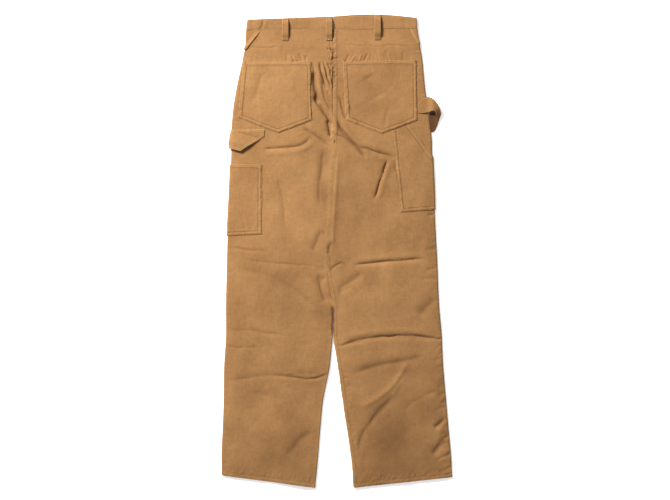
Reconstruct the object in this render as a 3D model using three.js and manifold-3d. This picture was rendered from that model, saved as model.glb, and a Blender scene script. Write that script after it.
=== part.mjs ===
// Duck canvas work pants, laid flat on their front with the back upwards, in millimetres.
// X runs from the wearer's left to the right, Y from the hems to the waist, and Z up from the
// surface that they lie on. The origin is under the middle of the garment.
import * as THREE from "three";
import { mergeVertices } from "three/addons/utils/BufferGeometryUtils.js";
import Module from "manifold-3d";

const manifold = await Module();
manifold.setup();

// Cloth
const CLOTH = 1.2; // duck canvas, one layer
const BAND_CLOTH = 2.4; // waistband: two layers with their seam allowance between
const HEM_CLOTH = 2.0; // turned-up hem
const HEM_RISE = [0.7, 0.3]; // where the cloth thickens to it, in sections from the hem
const STRAP_CLOTH = 1.5; // folded and stitched straps
const SEAM_GAP = 0.3; // between pieces that are sewn together
const EDGE_RADIUS = 2.2; // of the layers' middle where the cloth turns round at a side edge
const QUARTER_TURN = (EDGE_RADIUS * Math.PI) / 2;
const EDGE_SOFTNESS = 24; // how far in from an edge the upper layer takes to rise

// The lower layer: flat on the surface, and raised at the waist by the belt loops under it
const FLAT_FLOOR = CLOTH / 2;
const WAIST_FLOOR = STRAP_CLOTH + SEAM_GAP + CLOTH / 2;

// Sections across the garment, from the waist seam to the hems. left, mid and right are points
// on the outer edges and on the line between the legs, which is the seat seam down to the fork
// and the inseams below it. parting is the open space between the legs, puff how far the upper
// layer lies off the lower one, curl 1 where the inner edge turns down, and rings the number of
// rings of points down to the next section.
const SECTIONS = named("leftX leftY midX midY parting rightX rightY puff curl floor rings", [
  [-204, 498, -8, 499, 0, 182, 502, 0.6, 0, WAIST_FLOOR, 4],
  [-206, 459, -8, 459, 0, 188, 461, 2.4, 0, WAIST_FLOOR, 3],
  [-211, 433, -8, 433, 0, 193, 433, 3.4, 0, FLAT_FLOOR, 4],
  [-226, 363, -8, 363, 0, 200, 363, 4.6, 0, FLAT_FLOOR, 4],
  [-235, 300, -8, 300, 0, 209, 300, 5.0, 0, FLAT_FLOOR, 4],
  [-237, 243, -8, 246, 0, 215, 246, 5.0, 0, FLAT_FLOOR, 1],
  [-237, 229, -9, 232, 0, 215, 232, 5.0, 1, FLAT_FLOOR, 5],
  [-240, 147, -17, 150, 0, 219, 150, 4.8, 1, FLAT_FLOOR, 5],
  [-245, 47, -21, 50, 0, 223, 50, 4.6, 1, FLAT_FLOOR, 4],
  [-247, -27, -25, -25, 0, 227, -22, 4.4, 1, FLAT_FLOOR, 4],
  [-249, -120, -9, -122, 1, 231, -120, 4.4, 1, FLAT_FLOOR, 4],
  [-249, -190, -8, -190, 6, 237, -190, 4.4, 1, FLAT_FLOOR, 4],
  [-253, -255, -6, -260, 18, 240, -255, 4.2, 1, FLAT_FLOOR, 3],
  [-254, -325, -8, -335, 44, 246, -325, 4.0, 1, FLAT_FLOOR, 3],
  [-256, -392, -6, -408, 62, 252, -395, 3.6, 1, FLAT_FLOOR, 4],
  [-259, -455, -4, -476, 77, 258, -460, 2.4, 1, FLAT_FLOOR, 3],
  [-258, -503, -5, -531, 86, 260, -507, 0.4, 1, FLAT_FLOOR, 0],
]);

// Waistband, above the waist seam
const BAND = { leftX: -201, leftY: 521, midX: -8, midY: 528, rightX: 181, rightY: 525, bow: 6 };

// Folds in the upper layer: the line of each, half its width, its depth (a ridge is negative),
// and the height of the shoulder on the line's left.
const FOLDS = [
  // seat
  { line: [[-50, 417], [-49, 363], [-12, 288], [-16, 265]], half: 6, depth: 4.2, shoulder: 2.5 },
  { line: [[-36, 428], [-27, 390], [-15, 345]], half: 5, depth: 2, shoulder: 0 },
  { line: [[4, 353], [25, 295]], half: 5, depth: 2.4, shoulder: 0 },
  { line: [[0, 295], [18, 263], [43, 237], [69, 209]], half: 6, depth: 3.4, shoulder: 2 },
  { line: [[43, 237], [97, 220], [127, 210], [137, 170]], half: 6, depth: 2.4, shoulder: 1 },
  { line: [[-73, 278], [-46, 260], [-14, 240]], half: 6, depth: 2.6, shoulder: 1 },
  { line: [[-56, 260], [-73, 241], [-105, 233], [-168, 229]], half: 6, depth: 2.4, shoulder: 1 },
  { line: [[-165, 403], [-187, 331]], half: 12, depth: 1.8, shoulder: 0 },
  { line: [[69, 399], [101, 342]], half: 20, depth: 2.6, shoulder: 0 },
  // thighs
  { line: [[115, 208], [100, 165], [86, 114]], half: 5, depth: 3.6, shoulder: 1.5 },
  { line: [[-29, 232], [-32, 190], [-38, 140], [-34, 95]], half: 10, depth: 3.6, shoulder: 0 },
  { line: [[4, 232], [-1, 150], [-7, 60], [-10, -10]], half: 9, depth: -2.6, shoulder: 0 },
  { line: [[-133, 164], [-119, 100], [-117, 53]], half: 8, depth: 2, shoulder: 0 },
  { line: [[-33, 49], [-54, -1]], half: 8, depth: 2.4, shoulder: 0 },
  { line: [[-200, -20], [-129, -28], [-72, -33]], half: 7, depth: 1.6, shoulder: 0 },
  { line: [[33, -31], [108, -23], [198, -17]], half: 6, depth: 3.8, shoulder: 1.5 },
  { line: [[-36, -50], [-38, -76], [-22, -116]], half: 9, depth: 3.2, shoulder: 0 },
  { line: [[61, -48], [25, -73], [2, -88]], half: 9, depth: 2.6, shoulder: 0 },
  { line: [[-227, -37], [-129, -66], [-43, -131]], half: 14, depth: 2.4, shoulder: 0 },
  { line: [[222, -105], [185, -146]], half: 14, depth: 2.8, shoulder: 0 },
  // knees
  { line: [[-240, -177], [-182, -179], [-119, -190]], half: 7, depth: 2, shoulder: 0 },
  { line: [[4, -211], [69, -195], [149, -190], [226, -197]], half: 6, depth: 4, shoulder: 1.5 },
  { line: [[39, -274], [94, -256], [149, -247], [204, -234]], half: 10, depth: 2.8, shoulder: 0 },
  { line: [[-244, -289], [-141, -278], [-30, -277]], half: 7, depth: 2.8, shoulder: 1 },
  { line: [[164, -241], [127, -300], [80, -337], [50, -348]], half: 9, depth: -2.8, shoulder: 0 },
  // shins
  { line: [[131, -326], [80, -381], [54, -422], [52, -460]], half: 9, depth: 2.4, shoulder: 0 },
  { line: [[-53, -403], [-82, -425], [-112, -462]], half: 14, depth: 2.6, shoulder: 0 },
  { line: [[246, -374], [219, -398]], half: 7, depth: 3, shoulder: 1 },
  { line: [[248, -425], [215, -458]], half: 10, depth: 3.2, shoulder: 1 },
];
const FOLD_TAPER = 0.22; // share of a fold's length over which each end dies away
const SHOULDER_AWAY = 1.7; // half widths from a fold's line to the top of its shoulder
const FOLD_MARGIN = 14; // over which the folds die away at the edges
const INNER_CALM = 0.45; // share of its rise that the upper layer loses at the inner edge

// Hip pockets: how far the facing reaches from the side edge at the waist seam, onto the back
// and onto the front, and how far down each side it runs.
const HIP = {
  left: { back: 34, backDrop: 39, front: 60, frontDrop: 150 },
  right: { back: 20, backDrop: 30, front: 60, frontDrop: 150 },
};
const MOUTH_TAIL = 27; // over which the mouth's lower end turns round the side edge
const FACING_TIP = 2; // width of the facing where it ends
const SEAM_START = 0.005; // of a section, that the panels start below the waist seam

// Patch pockets and the flap, as outlines seen from above
const BACK_POCKET_LEFT = [[-209, 426], [-57.5, 426], [-55, 295], [-131, 266], [-221, 301]];
const BACK_POCKET_RIGHT = [[14.5, 427], [179.5, 429], [181, 295], [101, 264], [22, 295]];
const LEG_POCKET_LEFT = [[-260, 196], [-168, 196], [-168, 39], [-260, 35]];
const TOOL_POCKET_RIGHT = [[124, 271.8], [162, 286.5], [214, 217], [240, 200], [240, 94], [143, 88]];
const LEG_FLAP_LEFT = [[-260, 274], [-176, 262], [-162, 268], [-163, 258], [-215, 225], [-260, 231]];
// The flap is sewn along seamY and rises to lift at fullY, but stays down at the side edge
const FLAP_RISE = { seamY: 270, fullY: 229.5, sideX: -246, freeX: -222, lift: 6 };

// Straps
const LOOP_WIDTH = 14;
const LOOP_STAND = 5.2; // clear height under a belt loop
const LOOP_FOOT = 6; // sewn down at each end
const LOOP_RAMP = 6.24; // from a foot up to the raised middle
const LOOP_BELOW_SEAM = 22;
const LOOP_BELOW_EDGE = 1; // from the waistband's upper edge
const LOOP_SLIM = 0.35; // of the strap's thickness, taken off its ramps' length
const BACK_LOOPS = { left: -115, centre: -17, right: 92 };
const FRONT_LOOPS = { left_side: -180, left: -75, right: 56, right_side: 158 };
// The hammer loop's two edges, from the back pocket over the side edge and back under to the
// outseam. A height is above the leg where over is 1, and above the surface where it is 0.
const HAMMER_LOOP = named("upperX upperY upperZ lowerX lowerY lowerZ over", [
  [182, 331, 0, 182, 311, 0, 1],
  [192, 340, 1, 194, 311, 1, 1],
  [204, 347, 3, 206, 313, 4, 1],
  [215, 344, 11.2, 215, 316, 13.6, 0],
  [225, 334, 9.6, 222, 315, 13.4, 0],
  [232, 322, 7.2, 229, 304, 11.4, 0],
  [235, 310, 4.2, 232, 291, 7.6, 0],
  [230, 305, 1.8, 227, 279, 3.4, 0],
  [220, 310, 1.0, 220, 270, 1.6, 0],
  [208, 312, 2.8, 213, 267.5, 2.8, 0],
]);

// Button at the waist, under the front
const BUTTON = { radius: 8.5, height: STRAP_CLOTH, x: -22, y: 513 };

const DUCK = { color: 0xb68756, roughness: 0.95, metalness: 0 };
const DUCK_INSIDE = { color: 0x8d6a48, roughness: 0.95, metalness: 0 };
const BRASS = { color: 0x8a6a3a, roughness: 0.45, metalness: 1 };

function named(columns, rows) {
  const names = columns.split(" ");
  return rows.map((row) => Object.fromEntries(names.map((name, i) => [name, row[i]])));
}

function smooth(from, to, value) {
  const t = THREE.MathUtils.clamp((value - from) / (to - from), 0, 1);
  return t * t * (3 - 2 * t);
}

// A smooth line through one pair of columns of the sections.
function edgeLine(x, y) {
  const points = SECTIONS.map((row) => new THREE.Vector3(row[x], row[y], 0));
  return new THREE.CatmullRomCurve3(points, false, "centripetal");
}

const LEFT_EDGE = edgeLine("leftX", "leftY");
const RIGHT_EDGE = edgeLine("rightX", "rightY");
const MID_LINE = edgeLine("midX", "midY");
const LAST = SECTIONS.length - 1;

// A column's value at a place along the garment, counted in sections from the waist seam.
function columnAt(name, v) {
  const i = THREE.MathUtils.clamp(Math.floor(v), 0, LAST - 1);
  return THREE.MathUtils.lerp(SECTIONS[i][name], SECTIONS[i + 1][name], v - i);
}

// The places of the rings of points between two sections.
function ringsBetween(from, to) {
  const rings = [];
  for (let i = from; i < to; i++)
    for (let k = 0; k < SECTIONS[i].rings; k++) rings.push(i + k / SECTIONS[i].rings);
  return [...rings, to];
}

// How far the folds push the upper layer up or down at a point seen from above.
function foldHeight(x, y) {
  let height = 0;
  for (const { line, half, depth, shoulder } of FOLDS) {
    const lengths = line.slice(1).map((p, i) => Math.hypot(p[0] - line[i][0], p[1] - line[i][1]));
    const whole = lengths.reduce((sum, length) => sum + length, 0);
    let nearest = { distance: Infinity };
    let before = 0;
    lengths.forEach((length, i) => {
      const [ax, ay] = line[i];
      const dx = (line[i + 1][0] - ax) / length;
      const dy = (line[i + 1][1] - ay) / length;
      const along = THREE.MathUtils.clamp((x - ax) * dx + (y - ay) * dy, 0, length);
      const offX = x - ax - along * dx;
      const offY = y - ay - along * dy;
      const distance = Math.hypot(offX, offY);
      if (distance < nearest.distance) {
        const side = Math.sign(dx * offY - dy * offX) || 1;
        nearest = { distance, side, share: (before + along) / whole };
      }
      before += length;
    });
    if (nearest.distance > 4 * half) continue;
    const ends = smooth(0, FOLD_TAPER, nearest.share) * smooth(1, 1 - FOLD_TAPER, nearest.share);
    const across = (nearest.distance * nearest.side) / half;
    height -= depth * ends * Math.exp(-across * across);
    height += shoulder * ends * Math.exp(-((across - SHOULDER_AWAY) ** 2));
  }
  return height;
}

// One section of one leg as it lies: the line from its outer edge to its inner one, and the
// lengths of the ring's stretches past its first quarter turn: the flat, and the turn down at
// the inner edge.
function sectionAt(side, v) {
  const t = v / LAST;
  const outer = (side < 0 ? LEFT_EDGE : RIGHT_EDGE).getPoint(t);
  const inner = MID_LINE.getPoint(t);
  const curl = columnAt("curl", v);
  inner.x += side * columnAt("parting", v) * 0.5;
  const across = inner.clone().sub(outer);
  const width = across.length() - CLOTH / 2 - SEAM_GAP / 2 - (curl * CLOTH) / 2;
  across.normalize();
  outer.addScaledVector(across, CLOTH / 2);
  const endAngle = (1 - curl) * (Math.PI / 2);
  const flat = width - EDGE_RADIUS - EDGE_RADIUS * Math.cos(endAngle);
  const puff = columnAt("puff", v);
  const middle = columnAt("floor", v) + EDGE_RADIUS;
  return { outer, across, flat, innerTurn: QUARTER_TURN * curl, curl, puff, middle };
}

// A point of a leg's ring. s is the way along the cloth from the outermost point, over the upper
// layer where it is positive and under the lower layer where it is negative.
function clothPoint(side, v, s) {
  const { outer, across, flat, curl, puff, middle } = sectionAt(side, v);
  const way = Math.abs(s);
  let inward;
  let height;
  if (way < QUARTER_TURN) {
    inward = EDGE_RADIUS * (1 - Math.cos(way / EDGE_RADIUS));
    height = EDGE_RADIUS * Math.sin(way / EDGE_RADIUS);
  } else if (way < QUARTER_TURN + flat) {
    inward = EDGE_RADIUS + way - QUARTER_TURN;
    height = EDGE_RADIUS;
  } else {
    const angle = (way - QUARTER_TURN - flat) / EDGE_RADIUS;
    inward = EDGE_RADIUS + flat + EDGE_RADIUS * Math.sin(angle);
    height = EDGE_RADIUS * Math.cos(angle);
  }
  const point = outer.clone().addScaledVector(across, inward);
  point.z = middle + Math.sign(s || 1) * height;
  if (s > 0) {
    const fromOuter = 1 - Math.exp(-inward / EDGE_SOFTNESS);
    const fromInner = 1 - curl * Math.exp((inward - flat - EDGE_RADIUS) / EDGE_SOFTNESS);
    const share = Math.max(height / EDGE_RADIUS, 0);
    const folds = foldHeight(point.x, point.y) * smooth(0, FOLD_MARGIN, inward);
    const calm = curl * INNER_CALM * smooth(FOLD_MARGIN, 0, flat + EDGE_RADIUS - inward);
    point.z += share * (puff * fromOuter * fromInner + folds) * (1 - calm);
  }
  return point;
}

// The cloth's outward direction there, from small steps to each side.
function clothNormal(side, v, s) {
  const step = 0.4;
  const up = Math.max(v - 0.02, 0);
  const down = Math.min(v + 0.02, LAST);
  const alongRing = clothPoint(side, v, s + step).sub(clothPoint(side, v, s - step));
  const alongLeg = clothPoint(side, down, s).sub(clothPoint(side, up, s));
  const normal = side < 0 ? alongLeg.cross(alongRing) : alongRing.cross(alongLeg);
  return normal.normalize();
}

// A closed wall over a grid of places, each { point, normal, out, in }: its faces lie those
// distances out from the point and in from it.
function wall(grid) {
  const rows = grid.length;
  const columns = grid[0].length;
  const outside = [];
  const inside = [];
  for (const row of grid)
    for (const { point, normal, out, inn } of row) {
      outside.push(...point.clone().addScaledVector(normal, out));
      inside.push(...point.clone().addScaledVector(normal, -inn));
    }
  const index = [];
  const under = rows * columns;
  const quad = (a, b, c, d) => index.push(a, b, c, a, c, d);
  for (let i = 0; i < rows - 1; i++)
    for (let j = 0; j < columns - 1; j++) {
      const a = i * columns + j;
      const b = a + columns;
      quad(a, b, b + 1, a + 1);
      index.push(under + a, under + b + 1, under + b, under + a, under + a + 1, under + b + 1);
    }
  const rim = [];
  for (let j = 0; j < columns - 1; j++) rim.push(j);
  for (let i = 0; i < rows - 1; i++) rim.push(i * columns + columns - 1);
  for (let j = columns - 1; j > 0; j--) rim.push((rows - 1) * columns + j);
  for (let i = rows - 1; i > 0; i--) rim.push(i * columns);
  rim.forEach((a, k) => {
    const b = rim[(k + 1) % rim.length];
    quad(a, b, under + b, under + a);
  });
  const geometry = new THREE.BufferGeometry();
  geometry.setAttribute("position", new THREE.Float32BufferAttribute([...outside, ...inside], 3));
  geometry.setIndex(index);
  return facingOut(geometry);
}

// The same surface with its faces turned outwards, which a mirrored grid needs.
function facingOut(geometry) {
  const at = geometry.getAttribute("position");
  const index = Array.from(geometry.getIndex().array);
  const corner = (k) => new THREE.Vector3().fromBufferAttribute(at, index[k]);
  let volume = 0;
  for (let k = 0; k < index.length; k += 3)
    volume += corner(k).dot(corner(k + 1).cross(corner(k + 2)));
  if (volume < 0)
    for (let k = 0; k < index.length; k += 3) [index[k], index[k + 1]] = [index[k + 1], index[k]];
  geometry.setIndex(index);
  return geometry;
}

// Places along one ring of the upper or lower layer between two ways along the cloth, close
// together where it turns round an edge.
function waysAcross(innerTurn, from, to, flats) {
  const leastTurn = 2;
  const first = Math.max(QUARTER_TURN, from + leastTurn);
  const last = to - Math.max(innerTurn, leastTurn);
  const ways = [from, (from + first) / 2];
  for (let k = 0; k <= flats; k++) ways.push(THREE.MathUtils.lerp(first, last, k / flats));
  return [...ways, (last + to) / 2, to];
}

// How far the hip facing reaches from the side edge, on the back or on the front.
function facingReach(sideName, v, layer) {
  const hip = HIP[sideName];
  const drop = SECTIONS[0].midY - MID_LINE.getPoint(v / LAST).y;
  const share = drop / hip[`${layer}Drop`];
  if (layer === "front") return Math.max(0, hip.front * (1 - share));
  if (share < 1) return THREE.MathUtils.lerp(hip.back, QUARTER_TURN, share);
  return Math.max(0, QUARTER_TURN * (1 - (drop - hip.backDrop) / MOUTH_TAIL));
}

// The lowest place of a hip facing, in sections.
function facingEnd(sideName) {
  let v = 0;
  while (facingReach(sideName, v, "front") > FACING_TIP) v += 0.01;
  return v;
}

// The cloth's thickness at a place along the leg, which doubles at the turned-up hem.
function clothAt(v) {
  const [start, full] = HEM_RISE;
  return THREE.MathUtils.lerp(CLOTH, HEM_CLOTH, smooth(LAST - start, LAST - full, v));
}

// A leg panel from the waist seam to the hem, on the upper or the lower layer. raise lays a
// second piece over it instead, that far out and with its own thickness.
function panelGrid(sideName, layer, { from = 0, to = LAST, raise = 0, cloth = 0, flats = 12 } = {}) {
  const side = sideName === "left" ? -1 : 1;
  const sign = layer === "back" ? 1 : -1;
  return ringsBetween(from, to).map((v) => {
    const place = v || SEAM_START;
    const { flat, innerTurn, curl } = sectionAt(side, place);
    const start = facingReach(sideName, place, layer) + SEAM_GAP / 2;
    const end = QUARTER_TURN + flat + innerTurn - (curl * SEAM_GAP) / 2;
    return waysAcross(innerTurn, start, end, flats).map((way) => {
      const point = clothPoint(side, place, sign * way);
      const normal = clothNormal(side, place, sign * way);
      const half = CLOTH / 2;
      const turnUp = clothAt(place) - CLOTH;
      if (!raise) return { point, normal, out: half + (sign > 0 ? turnUp / 2 : 0), inn: half + turnUp / 2 };
      return { point, normal, out: half + raise + cloth, inn: -half - raise };
    });
  });
}

// A solid cut down to an outline seen from above.
function cutToOutline(geometry, outline) {
  const shape = new THREE.Shape(outline.map(([x, y]) => new THREE.Vector2(x, y)));
  const prism = new THREE.ExtrudeGeometry(shape, { depth: 60, bevelEnabled: false });
  prism.translate(0, 0, -10);
  return geometryOf(solidOf(geometry).intersect(solidOf(prism)));
}

function solidOf(geometry) {
  const bare = geometry.index ? geometry.toNonIndexed() : geometry.clone();
  for (const name of Object.keys(bare.attributes)) if (name !== "position") bare.deleteAttribute(name);
  const merged = mergeVertices(bare, 1e-3);
  return new manifold.Manifold(
    new manifold.Mesh({
      numProp: 3,
      vertProperties: new Float32Array(merged.getAttribute("position").array),
      triVerts: new Uint32Array(merged.index.array),
    }),
  );
}

function geometryOf(solid) {
  const mesh = solid.getMesh();
  const geometry = new THREE.BufferGeometry();
  geometry.setAttribute("position", new THREE.Float32BufferAttribute(mesh.vertProperties, 3));
  geometry.setIndex(Array.from(mesh.triVerts));
  return geometry;
}

function piece(name, geometry, finish = DUCK) {
  geometry.computeVertexNormals();
  const mesh = new THREE.Mesh(geometry, new THREE.MeshStandardMaterial(finish));
  mesh.name = name;
  return mesh;
}

function makePanel(sideName, layer) {
  const flats = layer === "back" ? 12 : 5;
  return piece(`${layer}_${sideName}`, wall(panelGrid(sideName, layer, { flats })));
}

// The facing behind a hip pocket's mouth. It runs round the side edge from back to front.
function makeHipFacing(sideName) {
  const side = sideName === "left" ? -1 : 1;
  const end = facingEnd(sideName);
  const rings = [...ringsBetween(0, LAST).filter((v) => v < end - 0.05), end];
  const grid = rings.map((ring) => {
    const v = ring || SEAM_START;
    const over = Math.max(facingReach(sideName, v, "back"), SEAM_GAP / 2) - SEAM_GAP;
    const under = facingReach(sideName, v, "front") - SEAM_GAP / 2;
    const turned = Math.min(QUARTER_TURN, under);
    const ways = [-under, -(under + turned) / 2, -Math.min(turned, under * 0.8), -turned / 2];
    const last = over > 0 ? 0 : ways.at(-1);
    for (const share of [over > 0 ? 0 : 0.25, 0.5, 0.75, 1])
      ways.push(THREE.MathUtils.lerp(last, over, share));
    return ways.map((s) => ({
      point: clothPoint(side, v, s),
      normal: clothNormal(side, v, s),
      out: CLOTH / 2,
      inn: CLOTH / 2,
    }));
  });
  return piece(`hip_facing_${sideName}`, wall(grid));
}

function makePocket(name, sideName, outline, from, to) {
  const slab = wall(panelGrid(sideName, "back", { from, to, raise: SEAM_GAP, cloth: CLOTH }));
  return piece(name, cutToOutline(slab, outline));
}

// The flap is sewn along its top and stands off the leg at its mitred lower edge.
function makeFlap() {
  const grid = panelGrid("left", "back", { from: 4, to: 7 });
  const { seamY, fullY, sideX, freeX } = FLAP_RISE;
  for (const row of grid)
    for (const place of row) {
      const { x, y } = place.point;
      const lift = FLAP_RISE.lift * smooth(seamY, fullY, y) * smooth(sideX, freeX, x);
      place.inn = -(CLOTH / 2 + SEAM_GAP + lift);
      place.out = CLOTH / 2 + SEAM_GAP + lift + CLOTH;
    }
  return piece("leg_flap_left", cutToOutline(wall(grid), LEG_FLAP_LEFT));
}

// Half of the waistband, from the centre back round the side edge to the centre front.
function makeWaistband(sideName) {
  const side = sideName === "left" ? -1 : 1;
  const seam = SECTIONS[0];
  const corner = new THREE.Vector2(seam[`${sideName}X`], seam[`${sideName}Y`]);
  const bottom = [corner, new THREE.Vector2(seam.midX, seam.midY)];
  const top = [
    new THREE.Vector2(BAND[`${sideName}X`], BAND[`${sideName}Y`]),
    new THREE.Vector2(BAND.midX, BAND.midY),
  ];
  const floor = STRAP_CLOTH + SEAM_GAP + BAND_CLOTH / 2;
  const radius = (WAIST_FLOOR + 2 * EDGE_RADIUS + seam.puff - floor) / 2;
  const steps = 14;
  const turns = 6;
  const rows = [0, 0.34, 0.67, 1].map((share) => {
    const outer = bottom[0].clone().lerp(top[0], share);
    const inner = bottom[1].clone().lerp(top[1], share);
    const across = inner.clone().sub(outer);
    const width = across.length() - BAND_CLOTH / 2 - SEAM_GAP / 2;
    across.normalize();
    outer.addScaledVector(across, BAND_CLOTH / 2);
    const row = [];
    const add = (inward, height, normalX, normalZ) => {
      const bow = side > 0 ? BAND.bow * Math.sin((Math.PI * inward) / width) * share : 0;
      const lift = share === 0 ? SEAM_GAP * 1.5 : 0;
      const point = new THREE.Vector3(
        outer.x + across.x * inward,
        outer.y + across.y * inward + bow + lift,
        floor + radius + height,
      );
      const normal = new THREE.Vector3(across.x * normalX, across.y * normalX, normalZ);
      row.push({ point, normal, out: BAND_CLOTH / 2, inn: BAND_CLOTH / 2 });
    };
    for (let k = 0; k <= steps; k++)
      add(THREE.MathUtils.lerp(width, radius, k / steps), radius, 0, 1);
    for (let k = 1; k < turns; k++) {
      const angle = (k * Math.PI) / turns;
      add(radius * (1 - Math.sin(angle)), radius * Math.cos(angle), -Math.sin(angle), Math.cos(angle));
    }
    for (let k = 0; k <= steps; k++)
      add(THREE.MathUtils.lerp(radius, width, k / steps), -radius, 0, -1);
    return row;
  });
  return piece(`waistband_${sideName}`, wall(rows));
}

// The height of the cloth's upper face at a point seen from above.
function topAt(x, y) {
  const side = x < SECTIONS[0].midX ? -1 : 1;
  let low = 0;
  let high = LAST;
  for (let k = 0; k < 40; k++) {
    const v = (low + high) / 2;
    const { outer, across } = sectionAt(side, v);
    const ahead = (x - outer.x) * across.y - (y - outer.y) * across.x;
    if (ahead * side > 0) high = v;
    else low = v;
  }
  const { outer, across } = sectionAt(side, low);
  const inward = (x - outer.x) * across.x + (y - outer.y) * across.y;
  return clothPoint(side, low, QUARTER_TURN + Math.max(inward - EDGE_RADIUS, 0)).z + CLOTH / 2;
}

// The waistband's upper edge and seam at a distance across.
function bandAt(x) {
  const seam = SECTIONS[0];
  const name = x < seam.midX ? "left" : "right";
  const share = (x - seam.midX) / (seam[`${name}X`] - seam.midX);
  const bow = name === "right" ? BAND.bow * Math.sin(Math.PI * share) : 0;
  return {
    top: THREE.MathUtils.lerp(BAND.midY, BAND[`${name}Y`], share) + bow,
    seam: THREE.MathUtils.lerp(seam.midY, seam[`${name}Y`], share),
  };
}

// A belt loop's side outline: feet at both ends and a raised middle, all one thickness.
function loopOutline(length, stand, tilt) {
  const under = [
    [0, tilt],
    [LOOP_FOOT, tilt],
    [LOOP_FOOT + LOOP_RAMP, stand],
    [length - LOOP_FOOT - LOOP_RAMP, stand],
    [length - LOOP_FOOT, 0],
    [length, 0],
  ];
  const over = under.map(([along, height]) => [along, height + STRAP_CLOTH]);
  const slim = STRAP_CLOTH * LOOP_SLIM;
  over[1][0] -= slim;
  over[2][0] -= slim;
  over[3][0] += slim;
  over[4][0] += slim;
  const outline = stand > 0 ? [...under, ...over.reverse()] : [under[0], under[5], over[5], over[0]];
  return new THREE.Shape(outline.map(([along, height]) => new THREE.Vector2(along, height)));
}

// A strap across the waistband, standing along Y from its lower end.
function strap(name, shape) {
  const geometry = new THREE.ExtrudeGeometry(shape, { depth: LOOP_WIDTH, bevelEnabled: false });
  geometry.translate(0, 0, -LOOP_WIDTH / 2);
  geometry.rotateX(Math.PI / 2);
  geometry.rotateZ(Math.PI / 2);
  return piece(name, geometry);
}

function makeBackLoop(name, x) {
  const { top, seam } = bandAt(x);
  const lowEnd = seam - LOOP_BELOW_SEAM;
  const highEnd = top - LOOP_BELOW_EDGE;
  const bandTop = STRAP_CLOTH + SEAM_GAP + BAND_CLOTH;
  const rest = WAIST_FLOOR + 2 * EDGE_RADIUS + SECTIONS[0].puff + BAND_CLOTH / 2 + SEAM_GAP;
  const corners = [-1, 0, 1].flatMap((k) =>
    [lowEnd, lowEnd + LOOP_FOOT].map((y) => topAt(x + (k * LOOP_WIDTH) / 2, y)),
  );
  const lowRest = Math.max(...corners) + SEAM_GAP;
  const loop = strap(
    `belt_loop_back_${name}`,
    loopOutline(highEnd - lowEnd, LOOP_STAND, lowRest - rest),
  );
  loop.position.set(x, lowEnd, Math.max(rest, bandTop));
  return loop;
}

function makeFrontLoop(name, x) {
  const { top, seam } = bandAt(x);
  const length = top - LOOP_BELOW_EDGE - (seam - LOOP_BELOW_SEAM);
  const loop = strap(`belt_loop_front_${name}`, loopOutline(length, 0, 0));
  loop.position.set(x, seam - LOOP_BELOW_SEAM, 0);
  return loop;
}

// The hammer loop: a slack strap between two edge curves.
function makeHammerLoop() {
  const edge = (name) =>
    new THREE.CatmullRomCurve3(
      HAMMER_LOOP.map((row) => {
        const [x, y, z] = ["X", "Y", "Z"].map((axis) => row[name + axis]);
        const under = row.over ? topAt(x, y) + SEAM_GAP + STRAP_CLOTH / 2 : 0;
        return new THREE.Vector3(x, y, z + under);
      }),
      false,
      "centripetal",
    );
  const upper = edge("upper");
  const lower = edge("lower");
  const steps = 27;
  const grid = [];
  for (let i = 0; i <= steps; i++) {
    const t = i / steps;
    const a = upper.getPoint(t);
    const b = lower.getPoint(t);
    const along = upper.getTangent(t).add(lower.getTangent(t));
    const normal = b.clone().sub(a).cross(along).normalize();
    grid.push(
      [0, 0.5, 1].map((share) => ({
        point: a.clone().lerp(b, share),
        normal,
        out: STRAP_CLOTH / 2,
        inn: STRAP_CLOTH / 2,
      })),
    );
  }
  return piece("hammer_loop_right", wall(grid), DUCK_INSIDE);
}

function makeButton() {
  const geometry = new THREE.CylinderGeometry(BUTTON.radius, BUTTON.radius * 0.9, BUTTON.height, 24);
  const button = piece("waist_button", geometry, BRASS);
  button.rotation.x = Math.PI / 2;
  button.position.set(BUTTON.x, BUTTON.y, BUTTON.height / 2);
  return button;
}

const pants = new THREE.Group();
pants.name = "pants";
for (const sideName of ["left", "right"]) {
  pants.add(makePanel(sideName, "back"), makePanel(sideName, "front"));
  pants.add(makeHipFacing(sideName), makeWaistband(sideName));
}
pants.add(makePocket("back_pocket_left", "left", BACK_POCKET_LEFT, 1, 5));
pants.add(makePocket("back_pocket_right", "right", BACK_POCKET_RIGHT, 1, 5));
pants.add(makePocket("leg_pocket_left", "left", LEG_POCKET_LEFT, 6, 9));
pants.add(makePocket("tool_pocket_right", "right", TOOL_POCKET_RIGHT, 3, 8));
pants.add(makeFlap());
pants.add(makeHammerLoop());
for (const [name, x] of Object.entries(BACK_LOOPS)) pants.add(makeBackLoop(name, x));
for (const [name, x] of Object.entries(FRONT_LOOPS)) pants.add(makeFrontLoop(name, x));
pants.add(makeButton());

export default pants;
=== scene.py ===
"""Duck canvas work pants, laid flat on their front: the cloth, its folds and its sewing.

Every piece of cloth is a thin wall on the form of its solid. A place on a leg is given by v, the
way down the leg counted in rows of SECTIONS, and s, the way along the cloth from the side edge:
over the upper layer where it is positive and under the lower one where it is negative. Sizes are
in metres, and in millimetres in the tables of folds, creases and puckers.
"""
import math

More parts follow.
